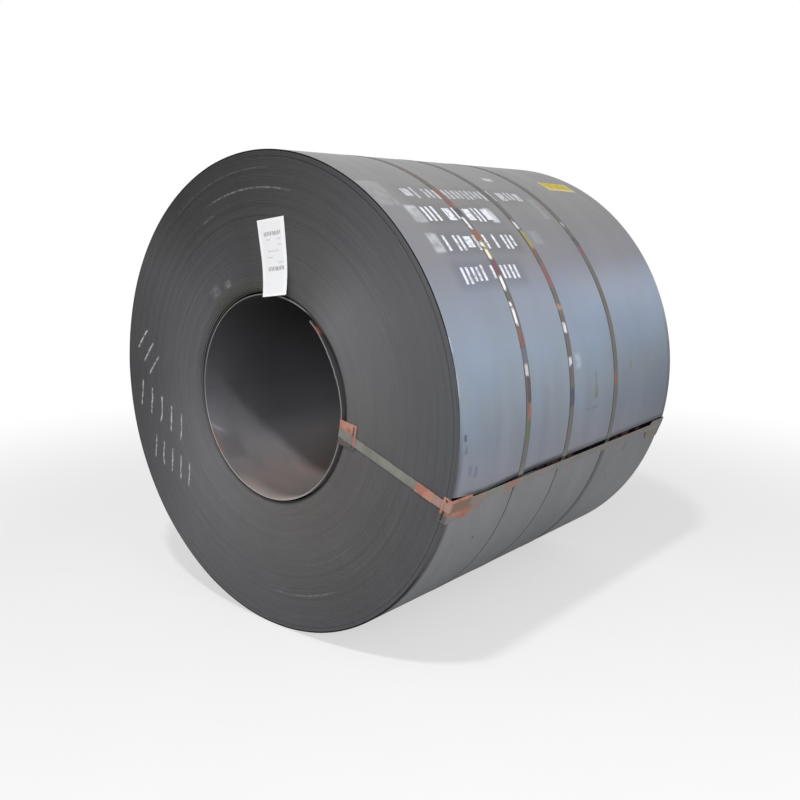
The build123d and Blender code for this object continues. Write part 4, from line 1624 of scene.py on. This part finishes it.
@dataclass
class Sticker:
    """The sticker on the shell."""

    length: float = 0.200
    height: float = 0.073
    station: float = 0.556
    angle: float = 62.5
    turn: float = -3.0
    thickness: float = 0.0004
    play: float = 0.0001
    columns: int = 20
    rows: int = 10

    def build(self) -> None:
        """Builds the sticker as a sheet that follows the shell."""
        tilt = math.radians(self.turn)
        foot = WINDING.outer_radius + self.play
        along, across = np.meshgrid(
            np.linspace(-0.5, 0.5, self.columns + 1) * self.length,
            np.linspace(-0.5, 0.5, self.rows + 1) * self.height,
        )
        station = self.station + along * math.cos(tilt) - across * math.sin(tilt)
        rise = along * math.sin(tilt) + across * math.cos(tilt)
        angle = self.angle + np.degrees(np.arcsin(rise / foot))
        under, over = (
            WINDING.place(foot + lift, angle, station) for lift in (0, self.thickness)
        )
        piece = sheet_solid("sticker_sheet", under, over)
        finish_piece(piece, [self.paper()], "sticker", sharp=40.0)

    def paper(self) -> Material:
        """Builds the sticker's finish: yellow, with dull olive blocks and a pale lower border."""
        graph = CoilShader("sticker_paper")
        stains = graph.speckle(40.0, 4.0, 0.6)
        graph.ground(graph.fit(stains, 0.35, 0.7), (206, 184, 52), (184, 166, 60))
        degree = math.radians(WINDING.outer_radius)
        across = graph.line(graph.angle, degree, -degree * self.angle)
        along = graph.minus(graph.station, self.station)
        across = graph.line(along, -math.tan(math.radians(self.turn)), across)
        half, long_half = self.height / 2, self.length / 2
        pale = graph.fall(across, 0.012 - half, 0.018 - half)
        ends = graph.minus(1.0, graph.band(along, 0.012 - long_half, long_half - 0.012, 0.003))
        graph.lay((212, 196, 160), 0.75, graph.math("MAXIMUM", pale, ends))
        blocks = graph.fit(graph.noise(along, 60.0, 1.0, flat=True), 0.48, 0.56)
        for low, high in ((-0.012, 0.0), (0.008, 0.022)):
            row = (graph.band(across, low, high, 0.002), graph.band(along, -0.06, 0.075, 0.004))
            graph.lay((140, 130, 60), 0.6, *row, blocks)
        return graph.coat(stains, (0.5, 0.7), relief=stains, depth=0.0001)


def sheet_solid(name: str, under: np.ndarray, over: np.ndarray) -> Piece:
    """A closed sheet between the grids of points of its lower and its upper side."""
    spots = np.arange(under.shape[0] * under.shape[1]).reshape(under.shape[:2])
    corners = (spots[:-1, :-1], spots[:-1, 1:], spots[1:, 1:], spots[1:, :-1])
    faces = []
    for quad in np.stack(corners, axis=-1).reshape(-1, 4).tolist():
        faces += [quad, [index + spots.size for index in reversed(quad)]]
    sides = (spots[0], spots[1:, -1], spots[-1, -2::-1], spots[-2:0:-1, 0])
    border = np.concatenate(sides).tolist()
    for here, there in zip(border, border[1:] + border[:1]):
        faces.append([here, here + spots.size, there + spots.size, there])
    return make_mesh(name, np.stack([under, over]), faces)


# ---------------------------------------------------------------- studio


@dataclass
class Studio:
    """The floor, the lights, the white surroundings and the camera."""

    camera_place: Point = (2.4217, -2.8400, 1.4929)
    camera_yaw: float = 40.468
    camera_pitch: float = 11.148
    focal_pixels: float = 886.345
    frame_pixels: float = 800.0
    sensor: float = 36.0
    world_level: float = 0.3
    floor_bounce: float = 0.5
    floor_half: float = 30.0
    key_angle: float = 76.0
    key_slope: float = 0.47
    key_distance: float = 6.2
    key_aim: float = -0.6

    def build(self) -> None:
        """Builds all of it."""
        self.build_floor()
        self.build_world()
        self.build_lights()
        self.build_camera()
        bpy.context.scene.view_settings.view_transform = "Standard"

    def aim(self, item: Piece, place: Point, look: Vector) -> None:
        """Places the camera or a lamp and turns it to look in a direction."""
        item.location = place
        item.rotation_mode = "QUATERNION"
        item.rotation_quaternion = look.to_track_quat("-Z", "Y")

    def build_camera(self) -> None:
        """Places the camera."""
        data = bpy.data.cameras.new("camera")
        data.sensor_width = self.sensor
        data.lens = self.sensor * self.focal_pixels / self.frame_pixels
        camera = add_object("camera", data)
        yaw, pitch = math.radians(self.camera_yaw), math.radians(self.camera_pitch)
        level = math.cos(pitch)
        look = Vector((-math.sin(yaw) * level, math.cos(yaw) * level, -math.sin(pitch)))
        self.aim(camera, self.camera_place, look)
        bpy.context.scene.camera = camera

    def build_floor(self) -> None:
        """Lays the pale floor, which turns into plain white away from the object."""
        half = self.floor_half
        corners = [(-half, -half, 0), (half, -half, 0), (half, half, 0), (-half, half, 0)]
        mesh = bpy.data.meshes.new("floor")
        mesh.from_pydata(corners, [], [[0, 1, 2, 3]])
        floor = add_object("floor", mesh)
        graph = Shader("floor_white")
        greys = [(0.3, (0.88, 0.88, 0.88)), (0.7, (0.9, 0.9, 0.9))]
        seen = graph.node("ShaderNodeLightPath").outputs["Is Camera Ray"]
        pale = graph.ramp(graph.speckle(3.0, 3.0), greys)
        graph.set("Base Color", graph.mix(seen, (self.floor_bounce,) * 3, pale))
        graph.set("Roughness", 0.9)
        length = graph.node("ShaderNodeVectorMath", graph.place, operation="LENGTH")
        far = graph.times(graph.fit(length.outputs["Value"], 1.6, 4.5, 0.55, 1.0), seen)
        white = graph.node("ShaderNodeEmission")
        ends = (graph.surface.outputs[0], white.outputs[0])
        mixer = graph.node("ShaderNodeMixShader", far, *ends)
        graph.put(graph.output.inputs["Surface"], mixer.outputs[0])
        mesh.materials.append(graph.material)

    def build_world(self) -> None:
        """Makes the surroundings white where they are seen and a soft grey as a light."""
        world = bpy.data.worlds.new("surroundings")
        world.use_nodes = True
        bpy.context.scene.world = world
        graph = Graph(world.node_tree)
        graph.tree.nodes.clear()
        path = graph.node("ShaderNodeLightPath").outputs
        seen = graph.math("MAXIMUM", path["Is Camera Ray"], path["Is Glossy Ray"])
        seen = graph.math("MAXIMUM", seen, path["Is Transmission Ray"])
        level = graph.line(seen, 1.0 - self.world_level, self.world_level)
        background = graph.node("ShaderNodeBackground", (1.0, 1.0, 1.0), level)
        graph.node("ShaderNodeOutputWorld", background.outputs[0])

    def build_lights(self) -> None:
        """Hangs the key lamp, which shines into the bore, and two large soft lamps."""
        turn = math.radians(self.key_angle)
        towards = Vector((math.cos(turn), -self.key_slope, math.sin(turn))).normalized()
        place = Vector((0.0, self.key_aim, WINDING.axis_height)) + towards * self.key_distance
        self.lamp("key_lamp", tuple(place), 0.5, 200.0)
        self.lamp("fill_lamp", (3.4, -4.8, 2.0), 2.4, 120.0)
        self.lamp("side_lamp", (5.2, -0.6, 1.4), 2.6, 70.0)

    def lamp(self, name: str, place: Point, size: float, power: float) -> None:
        """Hangs one square lamp of a size and a power in watts that faces the coil's middle."""
        data = bpy.data.lights.new(name, "AREA")
        data.size, data.energy = size, power
        middle = Vector((0.0, 0.0, WINDING.axis_height))
        self.aim(add_object(name, data), place, middle - Vector(place))


def main() -> None:
    """Builds the studio and every sub-assembly."""
    logging.basicConfig(level=logging.INFO, format="%(name)s: %(message)s")
    Studio().build()
    for part in (WoundCoil(), GirthStraps(), EyeStrap(), Tag(), Sticker()):
        part.build()


if __name__ == "__main__":
    main()
